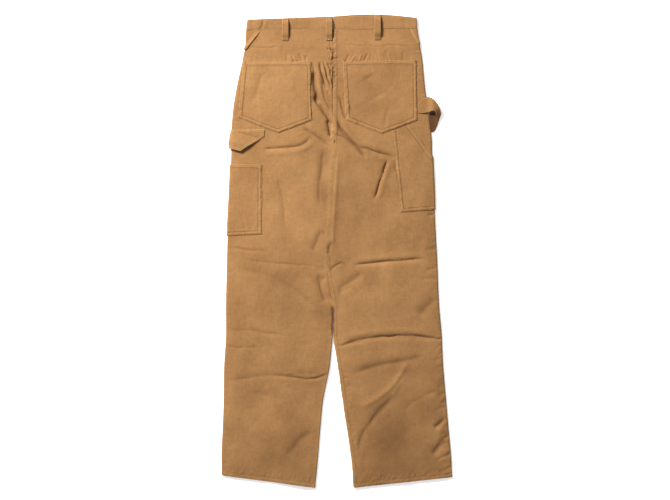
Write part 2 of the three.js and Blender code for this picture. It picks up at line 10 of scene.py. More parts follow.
import bpy
import numpy as np
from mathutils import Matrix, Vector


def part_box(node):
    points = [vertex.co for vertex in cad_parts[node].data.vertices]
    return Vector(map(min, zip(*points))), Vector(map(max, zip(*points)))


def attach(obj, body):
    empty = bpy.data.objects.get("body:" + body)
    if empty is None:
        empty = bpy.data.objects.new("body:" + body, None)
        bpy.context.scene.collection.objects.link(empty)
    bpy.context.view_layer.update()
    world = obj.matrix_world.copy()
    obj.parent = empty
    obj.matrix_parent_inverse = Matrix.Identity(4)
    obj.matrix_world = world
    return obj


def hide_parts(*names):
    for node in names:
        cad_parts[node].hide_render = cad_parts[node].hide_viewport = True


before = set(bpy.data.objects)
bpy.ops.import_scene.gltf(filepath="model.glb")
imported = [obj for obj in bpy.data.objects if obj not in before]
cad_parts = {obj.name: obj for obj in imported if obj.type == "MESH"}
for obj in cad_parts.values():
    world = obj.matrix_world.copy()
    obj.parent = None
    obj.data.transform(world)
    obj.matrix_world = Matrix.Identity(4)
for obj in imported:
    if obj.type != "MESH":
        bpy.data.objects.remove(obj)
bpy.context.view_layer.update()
bpy.ops.object.select_all(action="DESELECT")

# Cloth, as in the solids
CLOTH = 0.0012
BAND_CLOTH = 0.0024
STRAP_CLOTH = 0.0015
SEAM_GAP = 0.0003
CENTRE_GAP = 0.00004  # the legs touch down to the knees, and no light comes up between them
EDGE_RADIUS = 0.0022
QUARTER_TURN = EDGE_RADIUS * math.pi / 2
EDGE_SOFTNESS = 0.024
FLAT_FLOOR = CLOTH / 2
WAIST_FLOOR = STRAP_CLOTH + SEAM_GAP + CLOTH / 2
LEFT, RIGHT = -1, 1
SIDE_NAME = {LEFT: "left", RIGHT: "right"}
LAYER_SIGN = {"back": 1, "front": -1}

SECTION_COLUMNS = "left_x left_y mid_x mid_y parting right_x right_y puff curl floor".split()
SECTION_ROWS = [
    (-0.204, 0.498, -0.008, 0.499, 0, 0.182, 0.502, 0.0006, 0, WAIST_FLOOR),
    (-0.206, 0.459, -0.008, 0.459, 0, 0.188, 0.461, 0.0024, 0, WAIST_FLOOR),
    (-0.211, 0.433, -0.008, 0.433, 0, 0.193, 0.433, 0.0034, 0, FLAT_FLOOR),
    (-0.226, 0.363, -0.008, 0.363, 0, 0.200, 0.363, 0.0046, 0, FLAT_FLOOR),
    (-0.235, 0.300, -0.008, 0.300, 0, 0.209, 0.300, 0.0050, 0, FLAT_FLOOR),
    (-0.237, 0.243, -0.008, 0.246, 0, 0.215, 0.246, 0.0050, 0, FLAT_FLOOR),
    (-0.237, 0.229, -0.009, 0.232, 0, 0.215, 0.232, 0.0050, 1, FLAT_FLOOR),
    (-0.240, 0.147, -0.017, 0.150, 0, 0.219, 0.150, 0.0048, 1, FLAT_FLOOR),
    (-0.245, 0.047, -0.021, 0.050, 0, 0.223, 0.050, 0.0046, 1, FLAT_FLOOR),
    (-0.247, -0.027, -0.025, -0.025, 0, 0.227, -0.022, 0.0044, 1, FLAT_FLOOR),
    (-0.249, -0.120, -0.009, -0.122, 0, 0.231, -0.120, 0.0044, 1, FLAT_FLOOR),
    (-0.249, -0.190, -0.008, -0.190, 0.0004, 0.237, -0.190, 0.0044, 1, FLAT_FLOOR),
    (-0.253, -0.255, -0.006, -0.260, 0.018, 0.240, -0.255, 0.0042, 1, FLAT_FLOOR),
    (-0.254, -0.325, -0.008, -0.335, 0.044, 0.246, -0.325, 0.0040, 1, FLAT_FLOOR),
    (-0.256, -0.392, -0.006, -0.408, 0.062, 0.252, -0.395, 0.0036, 1, FLAT_FLOOR),
    (-0.259, -0.455, -0.004, -0.476, 0.077, 0.258, -0.460, 0.0024, 1, FLAT_FLOOR),
    (-0.258, -0.503, -0.005, -0.531, 0.086, 0.260, -0.507, 0.0004, 1, FLAT_FLOOR),
]
SECTIONS = {name: np.array(col) for name, col in zip(SECTION_COLUMNS, zip(*SECTION_ROWS))}
LAST = len(SECTION_ROWS) - 1
LAST_FALL = np.abs(SECTIONS["mid_y"][-1] - SECTIONS["mid_y"][-2])
WAIST_MIDDLE = np.array([SECTIONS["mid_x"][0], SECTIONS["mid_y"][0]])
# Below the fork the two backs stay level and meet for a while, before they turn down
SECTIONS["back_curl"] = SECTIONS["curl"].copy()
SECTIONS["back_curl"][6:11] = (0, 0.06, 0.16, 0.4, 0.8)

# Main folds, in millimetres: line (x, y, x, y and so on), half width, depth (a ridge is negative),
# and the height of the shoulder on the line's left
FOLD_ROWS = [
    ([-50, 417, -49, 363, -12, 288, -16, 265], 6, 4.2, 2.5),
    ([-36, 428, -27, 390, -15, 345], 5, 2, 0),
    ([4, 353, 25, 295], 5, 2.4, 0),
    ([0, 295, 18, 263, 43, 237, 69, 209], 6, 3.4, 2),
    ([43, 237, 97, 220, 127, 210, 137, 170], 6, 2.4, 1),
    ([-73, 278, -46, 260, -14, 240], 6, 2.6, 1),
    ([-56, 260, -73, 241, -105, 233, -168, 229], 6, 2.4, 1),
    ([-165, 403, -187, 331], 12, 1.8, 0),
    ([69, 399, 101, 342], 20, 2.6, 0),
    ([115, 208, 100, 165, 86, 114], 5, 2.6, 1.2),
    ([-29, 232, -32, 190, -38, 140, -34, 95], 10, 3.6, 0),
    ([4, 232, -1, 150, -7, 60, -10, -10], 9, -2.6, 0),
    ([-133, 164, -119, 100, -117, 53], 8, 1.2, 0),
    ([-33, 49, -54, -1], 8, 2.4, 0),
    ([-200, -20, -129, -28, -72, -33], 7, 0.8, 0),
    ([33, -31, 108, -23, 198, -17], 6, 2.2, 1),
    ([-36, -50, -38, -76, -22, -116], 9, 3.2, 0),
    ([61, -48, 25, -73, 2, -88], 9, 2.6, 0),
    ([-227, -37, -129, -66, -43, -131], 14, 2.4, 0),
    ([222, -105, 185, -146], 14, 2.8, 0),
    ([-240, -177, -182, -179, -119, -190], 7, 1.1, 0),
    ([4, -211, 69, -195, 149, -190, 226, -197], 7, 2.8, 1.2),
    ([39, -274, 94, -256, 149, -247, 204, -234], 10, 2.8, 0),
    ([-244, -289, -141, -278, -30, -277], 7, 0.9, 0.3),
    ([164, -241, 127, -300, 80, -337, 50, -348], 9, -2.8, 0),
    ([131, -326, 80, -381, 54, -422, 52, -460], 9, 2.4, 0),
    ([-53, -403, -82, -425, -112, -462], 14, 2.6, 0),
    ([246, -374, 219, -398], 7, 3, 1),
    ([248, -425, 215, -458], 10, 3.2, 1),
]
# Creases that are too fine or too sharp for the solids, with the same columns
CREASE_ROWS = [
    # seat, left of its seam
    ([-53.5, 426, -51.5, 395, -50, 360], 2.6, 2.6, 0),
    ([-49, 408, -46.5, 380, -44.5, 352, -41.5, 330], 6.6, 8, 0),
    ([-53, 352, -43, 333, -26, 308, -9, 284], 3, 4.2, 0.8),
    ([-38, 428, -34, 400, -23, 358], 3.8, 5, 2.4),
    ([-30, 430, -22, 398, -14, 366], 3, 3.6, 1.6),
    ([-18, 420, -12, 392], 2.2, 2.6, 1),
    ([-35, 385, -26, 345, -12, 308], 4.2, 3.4, 1.2),
    ([-26, 345, -15, 318], 2.4, 2, 0.8),
    ([-19.5, 296, -17, 277, -15, 256], 5.2, 7.6, 0),
    ([-11, 300, -9, 262], 3, -1.4, 0),
    # seat, right of its seam
    ([9, 348, 12, 322, 23.5, 294], 2.6, 2.2, 0),
    ([16, 360, 20, 318], 3, 1.2, 0),
    ([-1.6, 296, 14.6, 270, 43, 237, 69, 203], 2.6, 2.6, 0.8),
    ([-4, 262, 24, 252, 46, 236], 2.6, 1.6, 0),
    ([48, 236, 90, 223, 118, 216, 133, 206, 137, 150], 2.4, 2, 0.6),
    ([118, 212, 101, 165, 85, 112], 2.4, 4.2, 0.4),
    # under the seat, left
    ([-79, 277, -57, 264, -11, 234], 2.6, 2.4, 0.6),
    ([-54, 262, -69, 244, -88, 236, -129, 232.5, -172, 229], 3, 1.2, 0.4),
    ([-90, 262, -64, 270], 5, -1.4, 0),
    # soft lines under the waistband
    ([-205, 459, -110, 457], 2.4, 0.8, 0.5),
    ([2, 463, 90, 461, 185, 463], 2.4, 0.8, 0.5),
    ([-170, 498, -178, 482], 4, 1.8, 0),
    # on the back pockets
    ([120, 350, 104, 270], 5.5, 1.1, 0.3),
    ([42, 405, 56, 340, 64, 300], 9, 1.4, 0),
    ([27, 330, 52, 276], 4, 1.6, 0.6),
    ([38, 300, 62, 275], 3.5, 1.2, 0),
    ([138, 420, 148, 300], 8, 1, 0),
    ([-185, 312, -156, 322], 5, 1.2, 0),
    ([-130, 330, -90, 318], 9, 1.2, 0),
    # thighs
    ([-8, 22, -17, 8, -18, -10], 6, 2.6, 0),
    ([35, -32, 79, -26.5, 159, -20.5, 212, -16.5], 3.5, 1.5, 0.5),
    ([16, -23, -18, -43], 4, 1.8, 0),
    ([-24, -52, -36, -80, -20, -118], 4, 1.8, 0),
    ([34, -78, 4, -94], 4.5, 1.6, 0),
    ([-242, 10, -205, 4, -150, 0], 3.6, 2.2, 0.6),
    ([-219, -19, -129, -27, -36, -34], 3, 0.8, 0),
    ([204, 80, 226, 86], 3, 2.4, 0),
    ([196, 1, 230, 7], 4, 2.2, 0),
    ([201, -44, 230, -33], 4, 2, 0),
    ([191, -62, 230, -62], 3.5, 1.6, 0),
    ([130, 60, 200, 20], 12, 1.2, 0),
    # knees
    ([-250, -176, -182, -179, -109, -191], 2.6, 0.9, 0),
    ([-250, -216, -175, -217], 4, 1, 0),
    ([-16, -219, 69, -197, 131, -191, 168, -189, 255, -201], 3.6, 1.9, 0.7),
    ([-256, -291, -187, -285.5], 3, 0.7, 0),
    ([-143, -278, -53, -286, -10, -274], 3.7, 2.1, 0.8),
    ([-189, -315, -119, -337], 8, 1.2, 0),
    ([20, -300, 62, -310], 9, 1.4, 0),
    # shins
    ([155, -275, 118, -330, 70, -352], 6, -1.4, 0),
    ([129, -320, 95, -358, 72, -392], 4, 1.8, 0),
    ([72, -392, 54, -432, 64, -476, 57, -506], 6, 1.4, 0),
    ([230, -312, 179, -333, 150, -363], 7, 1.8, 0),
    ([262, -366, 218, -398], 4, 2.2, 0.6),
    ([264, -400, 234, -430, 218, -458], 5, 2.6, 1),
    ([266, -449, 223, -471], 3.5, 2, 0.6),
    ([266, -475, 229, -500], 3.5, 1.6, 0),
]


def in_metres(rows):
    """Rows of a line and sizes in millimetres, as its points and the sizes in metres."""
    return [(np.reshape(line, (-1, 2)) / 1000, *(size / 1000 for size in sizes)) for line, *sizes in rows]


def ways_along(points):
    """How far each point of a line lies along it."""
    return np.concatenate([[0], np.cumsum(np.linalg.norm(np.diff(points, axis=0), axis=1))])


def puckers(line, pitch, tilt, stray, length, half, depth, seed):
    """Short creases that start along a sewn line, each a little unlike the next. Their tilt is
    the angle from the X axis, give or take the stray one, and length, half width and depth are
    each (least, most). All is in millimetres and degrees, and the creases come out in metres."""
    pick = np.random.default_rng(seed)
    [(line, pitch)] = in_metres([(line, pitch)])
    ways = ways_along(line)
    made = []
    way = pick.uniform(0, pitch)
    while way < ways[-1]:
        x, y = (np.interp(way, ways, line[:, k]) for k in range(2))
        angle = math.radians(tilt + pick.uniform(-stray, stray))
        reach = pick.uniform(*length) / 1000
        back = 0.25 * reach
        ends = ((x - back * math.cos(angle), y - back * math.sin(angle)),
                (x + reach * math.cos(angle), y + reach * math.sin(angle)))
        sign = 1 if pick.random() < 0.7 else -0.7
        made.append((ends, pick.uniform(*half) / 1000, sign * pick.uniform(*depth) / 1000, 0))
        way += pitch * pick.uniform(0.4, 1.6)
    return made


def side_edge(name, first, last):
    """A stretch of a side edge, as a line in millimetres."""
    edge = np.stack([SECTIONS[f"{name}_x"], SECTIONS[f"{name}_y"]], axis=1)
    return 1000 * edge[first:last].ravel()


# Puckers and gathers where the sewing has drawn the cloth up, in millimetres and degrees: line,
# pitch, tilt and stray, then length, half width and depth, and the seed
PUCKER_ROWS = [
    # seat seam
    ([-10, 470, -10, 385], 8, 150, 40, (4, 13), (1.4, 2.4), (0.8, 3.2), 71),
    ([-7, 472, -7, 385], 9, 35, 40, (4, 13), (1.4, 2.4), (0.6, 2.4), 72),
    ([-12, 462, -13, 375], 12, 95, 25, (6, 12), (1.4, 2.2), (1.6, 3.2), 77),
    ([-4, 455, -4, 385], 17, 70, 40, (5, 10), (1.4, 2.2), (1.0, 2.2), 28),
    ([-9, 385, -9, 262], 12, 140, 30, (6, 12), (1.4, 2.4), (0.4, 1.6), 13),
    ([-8, 385, -8, 300], 17, 50, 40, (6, 12), (1.4, 2.4), (0.2, 0.8), 29),
    # above and beside the back pockets
    ([-118, 428, -58, 428], 8, 106, 14, (11, 17), (2.2, 3.0), (-3.0, -1.8), 14),
    ([16, 428, 66, 428], 8.5, 58, 14, (13, 22), (1.6, 2.4), (1.2, 2.4), 15),
    ([70, 428, 150, 428], 11, 88, 14, (14, 26), (1.8, 2.8), (0.6, 1.4), 16),
    ([-200, 430, -125, 430], 14, 92, 14, (8, 14), (2.0, 3.0), (0.3, 0.7), 17),
    ([20, 420, 22, 305], 11, 78, 14, (12, 26), (1.8, 2.6), (0.5, 1.2), 18),
    ([-60, 415, -58, 305], 12, 96, 14, (10, 20), (1.8, 2.6), (0.3, 0.7), 19),
    # outseams
    (side_edge("left", 1, 17), 12, 8, 14, (8, 18), (1.8, 3.2), (0.2, 0.6), 20),
    (side_edge("right", 1, 12), 12, 172, 14, (8, 18), (1.8, 3.2), (0.4, 1.0), 21),
    (side_edge("right", 11, 17), 10, 205, 14, (12, 26), (1.8, 3.6), (0.6, 1.4), 22),
    # hems and inseams
    ([-260, -490, -130, -508, -50, -518], 8.5, 70, 14, (7, 12), (1.6, 2.6), (0.4, 0.9), 23),
    ([40, -518, 150, -508, 255, -493], 8.5, 70, 14, (7, 12), (1.6, 2.6), (0.5, 1.0), 24),
    ([-10, -120, -12, -300, -40, -500], 13, 170, 14, (8, 16), (1.8, 3.0), (0.4, 0.8), 25),
    ([6, -200, 25, -340, 45, -510], 13, 10, 14, (8, 16), (1.8, 3.0), (0.4, 0.8), 26),
]
FOLDS = in_metres(FOLD_ROWS)
CREASES = in_metres(CREASE_ROWS)
PUCKERS = [pucker for row in PUCKER_ROWS for pucker in puckers(*row)]
FOLD_TAPER = 0.17  # share of a fold's length in which it fades out
FOLD_MARGIN = 0.014  # width at the side edge in which the folds fade out
CREASE_MARGIN = 0.003
INNER_CALM = 0.45
LEAST_RISE = -0.0024
WANDER = 0.0022  # how far a crease strays from its line
WANDER_SIZE = 0.017
PATCH_FINE = 0.4  # the share of the narrow creases under a patch that show in it
# Broad unevenness of the cloth: height, size, seed, lean and stretch of its pattern
BODY_WAVES = [
    (0.0026, 0.080, 3, 0, 1),
    (0.0012, 0.030, 4, 0.3, 0.8),
    (0.00022, 0.010, 5, 0, 1),
]

# Hip pockets: reach of the facing at the waist seam, how far down it runs, and how far its mouth
# stands up
HIP = {
    LEFT: {"back": 0.038, "back_drop": 0.047, "front": 0.060, "front_drop": 0.150, "stand": 0.0030},
    RIGHT: {"back": 0.021, "back_drop": 0.038, "front": 0.060, "front_drop": 0.150, "stand": 0.0014},
}
MOUTH_TAIL = 0.027
FACING_TIP = 0.002

# Waistband
BAND_CORNER = {LEFT: np.array([-0.201, 0.521]), RIGHT: np.array([0.181, 0.525])}
BAND_MIDDLE = np.array([-0.008, 0.528])
BAND_BOW = 0.006
BAND_HEIGHT = 0.027
BAND_CELLS = (22, 250)
BAND_FOLDS = in_metres([
    ([-164, 522, -167, 508, -177, 490], 4, 1.6, 0.6),
    ([-192, 519, -185, 494], 6, 0.8, 0),
    ([150, 524, 156, 500], 7, 0.8, 0),
    ([96, 526, 100, 500], 5, 0.8, 0),
])

# Rows of stitches
HEM_DEPTH = 0.0095
STITCH_PITCH = 0.0034
STRAP_PITCH = 0.003
ROW_IN = 0.0018
ROW_APART = 0.0062
ROW_HALF = 0.0012
MOUTH_ROWS = (ROW_IN, 0.0095)


def smooth(start, end, value):
    t = np.clip((value - start) / (end - start), 0, 1)
    return t * t * (3 - 2 * t)


def bell(distance, width):
    """1 at no distance, falling away over a width on both sides."""
    return np.exp(-((distance / width) ** 2))


def from_above(points):
    """The x and y of points."""
    return points[..., 0], points[..., 1]


def with_ends(points):
    """A line with one more point before its first and after its last."""
    return np.concatenate([2 * points[:1] - points[1:2], points, 2 * points[-1:] - points[-2:-1]])


def line_through(x_name, y_name):
    """A smooth line through a pair of columns of SECTIONS, as a function of v."""
    points = with_ends(np.stack([SECTIONS[x_name], SECTIONS[y_name]], axis=1))
    gap = np.maximum(np.linalg.norm(np.diff(points, axis=0), axis=1) ** 0.5, 1e-4)

    def at(v):
        i = np.clip(np.floor(v).astype(int), 0, LAST - 1)
        t = (v - i)[..., None]
        p0, p1, p2, p3 = (points[i + k] for k in range(4))
        d0, d1, d2 = (gap[i + k][..., None] for k in range(3))
        slope1 = ((p1 - p0) / d0 - (p2 - p0) / (d0 + d1) + (p2 - p1) / d1) * d1
        slope2 = ((p2 - p1) / d1 - (p3 - p1) / (d1 + d2) + (p3 - p2) / d2) * d1
        c2 = 3 * (p2 - p1) - 2 * slope1 - slope2
        c3 = 2 * (p1 - p2) + slope1 + slope2
        return ((c3 * t + c2) * t + slope1) * t + p1

    return at


SIDE_LINE = {LEFT: line_through("left_x", "left_y"), RIGHT: line_through("right_x", "right_y")}
MID_LINE = line_through("mid_x", "mid_y")


def column(name, v):
    return np.interp(v, np.arange(LAST + 1), SECTIONS[name])


def spline(points, shares):
    """A smooth line through points, at shares of its rows."""
    points = with_ends(points)
    ways = shares * (len(points) - 3)
    i = np.clip(np.floor(ways).astype(int), 0, len(points) - 4)
    t = (ways - i)[:, None]
    p0, p1, p2, p3 = (points[i + k] for k in range(4))
    return 0.5 * (2 * p1 + (p2 - p0) * t + (2 * p0 - 5 * p1 + 4 * p2 - p3) * t**2
                  + (3 * p1 - p0 - 3 * p2 + p3) * t**3)


def fold_height(x, y, folds):
    """How far the folds push the cloth up or down at points seen from above."""
    height = np.zeros_like(x)
    for line, half, depth, shoulder in folds:
        line = np.array(line)
        if len(line) > 2:
            line = spline(line, np.linspace(0, 1, 4 * len(line) - 3))
        reach = 4 * half
        low, high = line.min(axis=0) - reach, line.max(axis=0) + reach
        near = (x > low[0]) & (x < high[0]) & (y > low[1]) & (y < high[1])
        if not near.any():
            continue
        px, py = x[near], y[near]
        lengths = np.linalg.norm(np.diff(line, axis=0), axis=1)
        whole = lengths.sum()
        best = np.full(px.shape, np.inf)
        side = np.ones_like(px)
        share = np.zeros_like(px)
        before = 0.0
        for start, end, length in zip(line[:-1], line[1:], lengths):
            dx, dy = (end - start) / length
            along = np.clip((px - start[0]) * dx + (py - start[1]) * dy, 0, length)
            off_x = px - start[0] - along * dx
            off_y = py - start[1] - along * dy
            distance = np.hypot(off_x, off_y)
            closer = distance < best
            best = np.where(closer, distance, best)
            side = np.where(closer, np.where(dx * off_y - dy * off_x < 0, -1, 1), side)
            share = np.where(closer, (before + along) / whole, share)
            before += length
        ends = smooth(0, FOLD_TAPER, share) * smooth(1, 1 - FOLD_TAPER, share)
        across = best * side / half
        core = 0.62 * bell(across, 1) + 0.38 * bell(across, 0.45)
        height[near] += ends * (shoulder * bell(across - 1.7, 1) - depth * core)
    return height


def unevenness(x, y, size, seed, cells=61):
    """Smooth random heights between -1 and 1, about one bump to each size."""
    table = np.random.default_rng(seed).uniform(-1, 1, (cells, cells))
    gx, gy = x / size, y / size
    i, j = np.floor(gx).astype(int), np.floor(gy).astype(int)
    fx, fy = smooth(0, 1, gx - i), smooth(0, 1, gy - j)
    i, j, next_i, next_j = i % cells, j % cells, (i + 1) % cells, (j + 1) % cells
    low = table[i, j] * (1 - fx) + table[next_i, j] * fx
    high = table[i, next_j] * (1 - fx) + table[next_i, next_j] * fx
    return low * (1 - fy) + high * fy


def section(side, v, curl):
    """A leg's section at v: its outermost point, direction inwards, and the width of its flat."""
    outer = SIDE_LINE[side](v)
    inner = MID_LINE(v)
    inner[..., 0] += side * column("parting", v) * 0.5
    across = inner - outer
    width = np.linalg.norm(across, axis=-1)
    across = across / width[..., None]
    width = width - CLOTH / 2 - CENTRE_GAP / 2 - curl * CLOTH / 2
    outer = outer + across * (CLOTH / 2)
    end_angle = (1 - curl) * math.pi / 2
    flat = width - EDGE_RADIUS - EDGE_RADIUS * np.cos(end_angle)
    return outer, across, flat


def way_to_centre(side, v, layer):
    """The whole length of a layer, from the side edge to the seat seam or inseam."""
    curl = column("back_curl" if layer == "back" else "curl", v)
    _, _, flat = section(side, v, curl)
    return QUARTER_TURN + flat + QUARTER_TURN * curl - curl * SEAM_GAP / 2


def leg_point(side, v, s, fine=1.0):
    """The middle of the cloth at v and s, with its narrow creases in full or in part."""
    curl = np.where(s > 0, column("back_curl", v), column("curl", v))
    outer, across, flat = section(side, v, curl)
    way = np.abs(s)
    turned = way / EDGE_RADIUS
    past = (way - QUARTER_TURN - flat) / EDGE_RADIUS
    inward = np.where(way < QUARTER_TURN, EDGE_RADIUS * (1 - np.cos(turned)), 0)
    height = np.where(way < QUARTER_TURN, EDGE_RADIUS * np.sin(turned), EDGE_RADIUS)
    on_flat = way >= QUARTER_TURN
    inward = np.where(on_flat, EDGE_RADIUS + way - QUARTER_TURN, inward)
    beyond = past > 0
    inward = np.where(beyond, EDGE_RADIUS + flat + EDGE_RADIUS * np.sin(past), inward)
    height = np.where(beyond, EDGE_RADIUS * np.cos(past), height)
    xy = outer + across * inward[..., None]
    x, y = xy[..., 0], xy[..., 1]
    from_outer = 1 - np.exp(-inward / EDGE_SOFTNESS)
    to_inner = flat + EDGE_RADIUS - inward
    from_inner = 1 - curl * np.exp(-to_inner / EDGE_SOFTNESS)
    share = np.maximum(height / EDGE_RADIUS, 0)
    body = sum(high * unevenness(x + lean * y, y * stretch, size, seed)
               for high, size, seed, lean, stretch in BODY_WAVES)
    calm = smooth(0.52, 0.42, y)
    rise = column("puff", v) * from_outer * from_inner
    rise += fold_height(x, y, FOLDS) * smooth(0, FOLD_MARGIN, inward)
    stray_x = x + WANDER * unevenness(x, y, WANDER_SIZE, 41)
    stray_y = y + WANDER * unevenness(x, y, WANDER_SIZE, 42)
    vary = 0.75 + 0.45 * unevenness(x, y, 0.024, 43)
    rise += fine * vary * fold_height(stray_x, stray_y, CREASES) * smooth(0, CREASE_MARGIN, inward)
    rise += fine * fold_height(stray_x, stray_y, PUCKERS) * smooth(0, CREASE_MARGIN, inward)
    rise += body * smooth(0.002, 0.03, inward) * (0.35 + 0.65 * calm)
    rise *= 1 - curl * INNER_CALM * smooth(FOLD_MARGIN, 0, to_inner)
    rise = np.maximum(rise, LEAST_RISE)
    z = column("floor", v) + EDGE_RADIUS + np.where(s < 0, -height, height)
    z = z + np.where(s > 0, share * rise, 0)
    return np.concatenate([xy, z[..., None]], axis=-1)


STEP_ALONG = 0.0005
STEP_DOWN = 0.01  # in rows of SECTIONS


def leg_frame(side, v, s, fine=1.0):
    """The middle of the cloth at v and s, and its outward direction there."""
    v, s = np.broadcast_arrays(np.asarray(v, float), np.asarray(s, float))
    up, down = np.maximum(v - STEP_DOWN, 0), np.minimum(v + STEP_DOWN, LAST)
    along_ring = leg_point(side, v, s + STEP_ALONG, fine) - leg_point(side, v, s - STEP_ALONG, fine)
    along_leg = leg_point(side, down, s, fine) - leg_point(side, up, s, fine)
    normal = np.cross(along_leg, along_ring) if side < 0 else np.cross(along_ring, along_leg)
    normal /= np.linalg.norm(normal, axis=-1)[..., None]
    return leg_point(side, v, s, fine), normal


def patch_frame(side, v, s):
    """As leg_frame, for a patch that bridges the narrow creases under it."""
    points, normals = leg_frame(side, v, s, PATCH_FINE)
    points[..., 2] = np.maximum(points[..., 2], leg_point(side, v, s)[..., 2])
    return points, normals


HALVINGS = 34  # each one halves the error of place_on_leg


def place_on_leg(side, x, y):
    """v and s of the upper layer at points seen from above, by halving."""
    x, y = np.asarray(x, float), np.asarray(y, float)
    low, high = np.zeros_like(x), np.full_like(x, LAST)
    for _ in range(HALVINGS):
        v = (low + high) / 2
        outer, across, _ = section(side, v, 0)
        ahead = (x - outer[..., 0]) * across[..., 1] - (y - outer[..., 1]) * across[..., 0]
        above = ahead * side > 0
        high = np.where(above, v, high)
        low = np.where(above, low, v)
    outer, across, _ = section(side, low, 0)
    inward = (x - outer[..., 0]) * across[..., 0] + (y - outer[..., 1]) * across[..., 1]
    turned = EDGE_RADIUS * np.arccos(np.clip(1 - inward / EDGE_RADIUS, -1, 1))
    s = np.where(inward < EDGE_RADIUS, turned, QUARTER_TURN + inward - EDGE_RADIUS)
    return low, np.maximum(s, SEAM_GAP / 2)


def rows_from(points):
    """Outward directions of a grid of points, from their neighbours."""
    down = np.gradient(points, axis=0)
    over = np.gradient(points, axis=1)
    normal = np.cross(down, over)
    return normal / np.maximum(np.linalg.norm(normal, axis=-1), 1e-12)[..., None]


def turned_like(normals, outward):
    """Directions, turned to the side that the outward ones are on."""
    return normals * np.sign((normals * outward).sum(axis=-1))[..., None]


def select_only(piece):
    bpy.ops.object.select_all(action="DESELECT")
    piece.select_set(True)
    bpy.context.view_layer.objects.active = piece


def wall(name, points, normals, thickness, uv, wear):
    """A closed wall of that thickness about a grid of points, with a UV map in metres."""
    rows, cols = points.shape[:2]
    half = np.broadcast_to(np.asarray(thickness), (rows, cols))[..., None] / 2
    vertices = np.concatenate([(points + normals * half), (points - normals * half)])
    under = rows * cols
    a = (np.arange(rows - 1)[:, None] * cols + np.arange(cols - 1)[None, :]).ravel()
    top = np.stack([a, a + cols, a + cols + 1, a + 1], axis=1)
    bottom = top[:, ::-1] + under
    rim = np.concatenate([
        np.arange(cols - 1),
        np.arange(rows - 1) * cols + cols - 1,
        (rows - 1) * cols + np.arange(cols - 1, 0, -1),
        np.arange(rows - 1, 0, -1) * cols,
    ])
    ahead = np.roll(rim, -1)
    sides = np.stack([rim, ahead, ahead + under, rim + under], axis=1)
    faces = np.concatenate([top, bottom, sides])
    mesh = bpy.data.meshes.new(name)
    mesh.from_pydata(vertices.reshape(-1, 3).tolist(), [], faces.tolist())
    loops = np.empty(len(mesh.loops), int)
    mesh.loops.foreach_get("vertex_index", loops)
    both = np.concatenate([uv.reshape(-1, 2)] * 2)
    layer = mesh.uv_layers.new(name="cloth")
    layer.data.foreach_set("uv", both[loops].astype(np.float32).ravel())
    worn = mesh.attributes.new("wear", "FLOAT", "POINT")
    wear = np.tile(np.broadcast_to(wear, (rows, cols)).ravel(), 2)
    worn.data.foreach_set("value", wear.astype(np.float32))
    piece = bpy.data.objects.new(name, mesh)
    bpy.context.collection.objects.link(piece)
    select_only(piece)
    bpy.ops.object.mode_set(mode="EDIT")
    bpy.ops.mesh.select_all(action="SELECT")
    bpy.ops.mesh.normals_make_consistent(inside=False)
    bpy.ops.object.mode_set(mode="OBJECT")
    bpy.ops.object.shade_smooth_by_angle(angle=math.radians(50))
    return piece


def dress(piece, node):
    """Puts a sheet of canvas in its node's place."""
    piece.data.materials.append(CANVAS)
    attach(piece, "root")
    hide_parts(node)


# Materials


def linear(hex_colour):
    """An sRGB hex colour as linear red, green, blue and alpha."""
    parts = [int(hex_colour[i : i + 2], 16) / 255 for i in (0, 2, 4)]
    return (*(c / 12.92 if c <= 0.04045 else ((c + 0.055) / 1.055) ** 2.4 for c in parts), 1)


def add_node(tree, kind, inputs, **settings):
    """Adds a node with its settings. An input is a value, or a (node, output) to link."""
    made = tree.nodes.new(kind)
    for name, value in settings.items():
        setattr(made, name, value)
    for name, value in inputs.items():
        if isinstance(value, tuple) and isinstance(value[0], bpy.types.Node):
            tree.links.new(value[0].outputs[value[1]], made.inputs[name])
        else:
            made.inputs[name].default_value = value
    return made


def mix_colours(tree, factor, first, second):
    return add_node(tree, "ShaderNodeMix", {"Factor": factor, "A": first, "B": second}, data_type="RGBA")


def new_material(name, inputs):
    """A material, with its node tree and its shader, some of whose inputs are set."""
    material = bpy.data.materials.new(name)
    material.use_nodes = True
    shader = material.node_tree.nodes["Principled BSDF"]
    for key, value in inputs.items():
        shader.inputs[key].default_value = value
    return material, material.node_tree, shader


WEAVE_PITCH = 0.0014
BANDS_A_UNIT = 3.18  # of the wave texture at scale 1


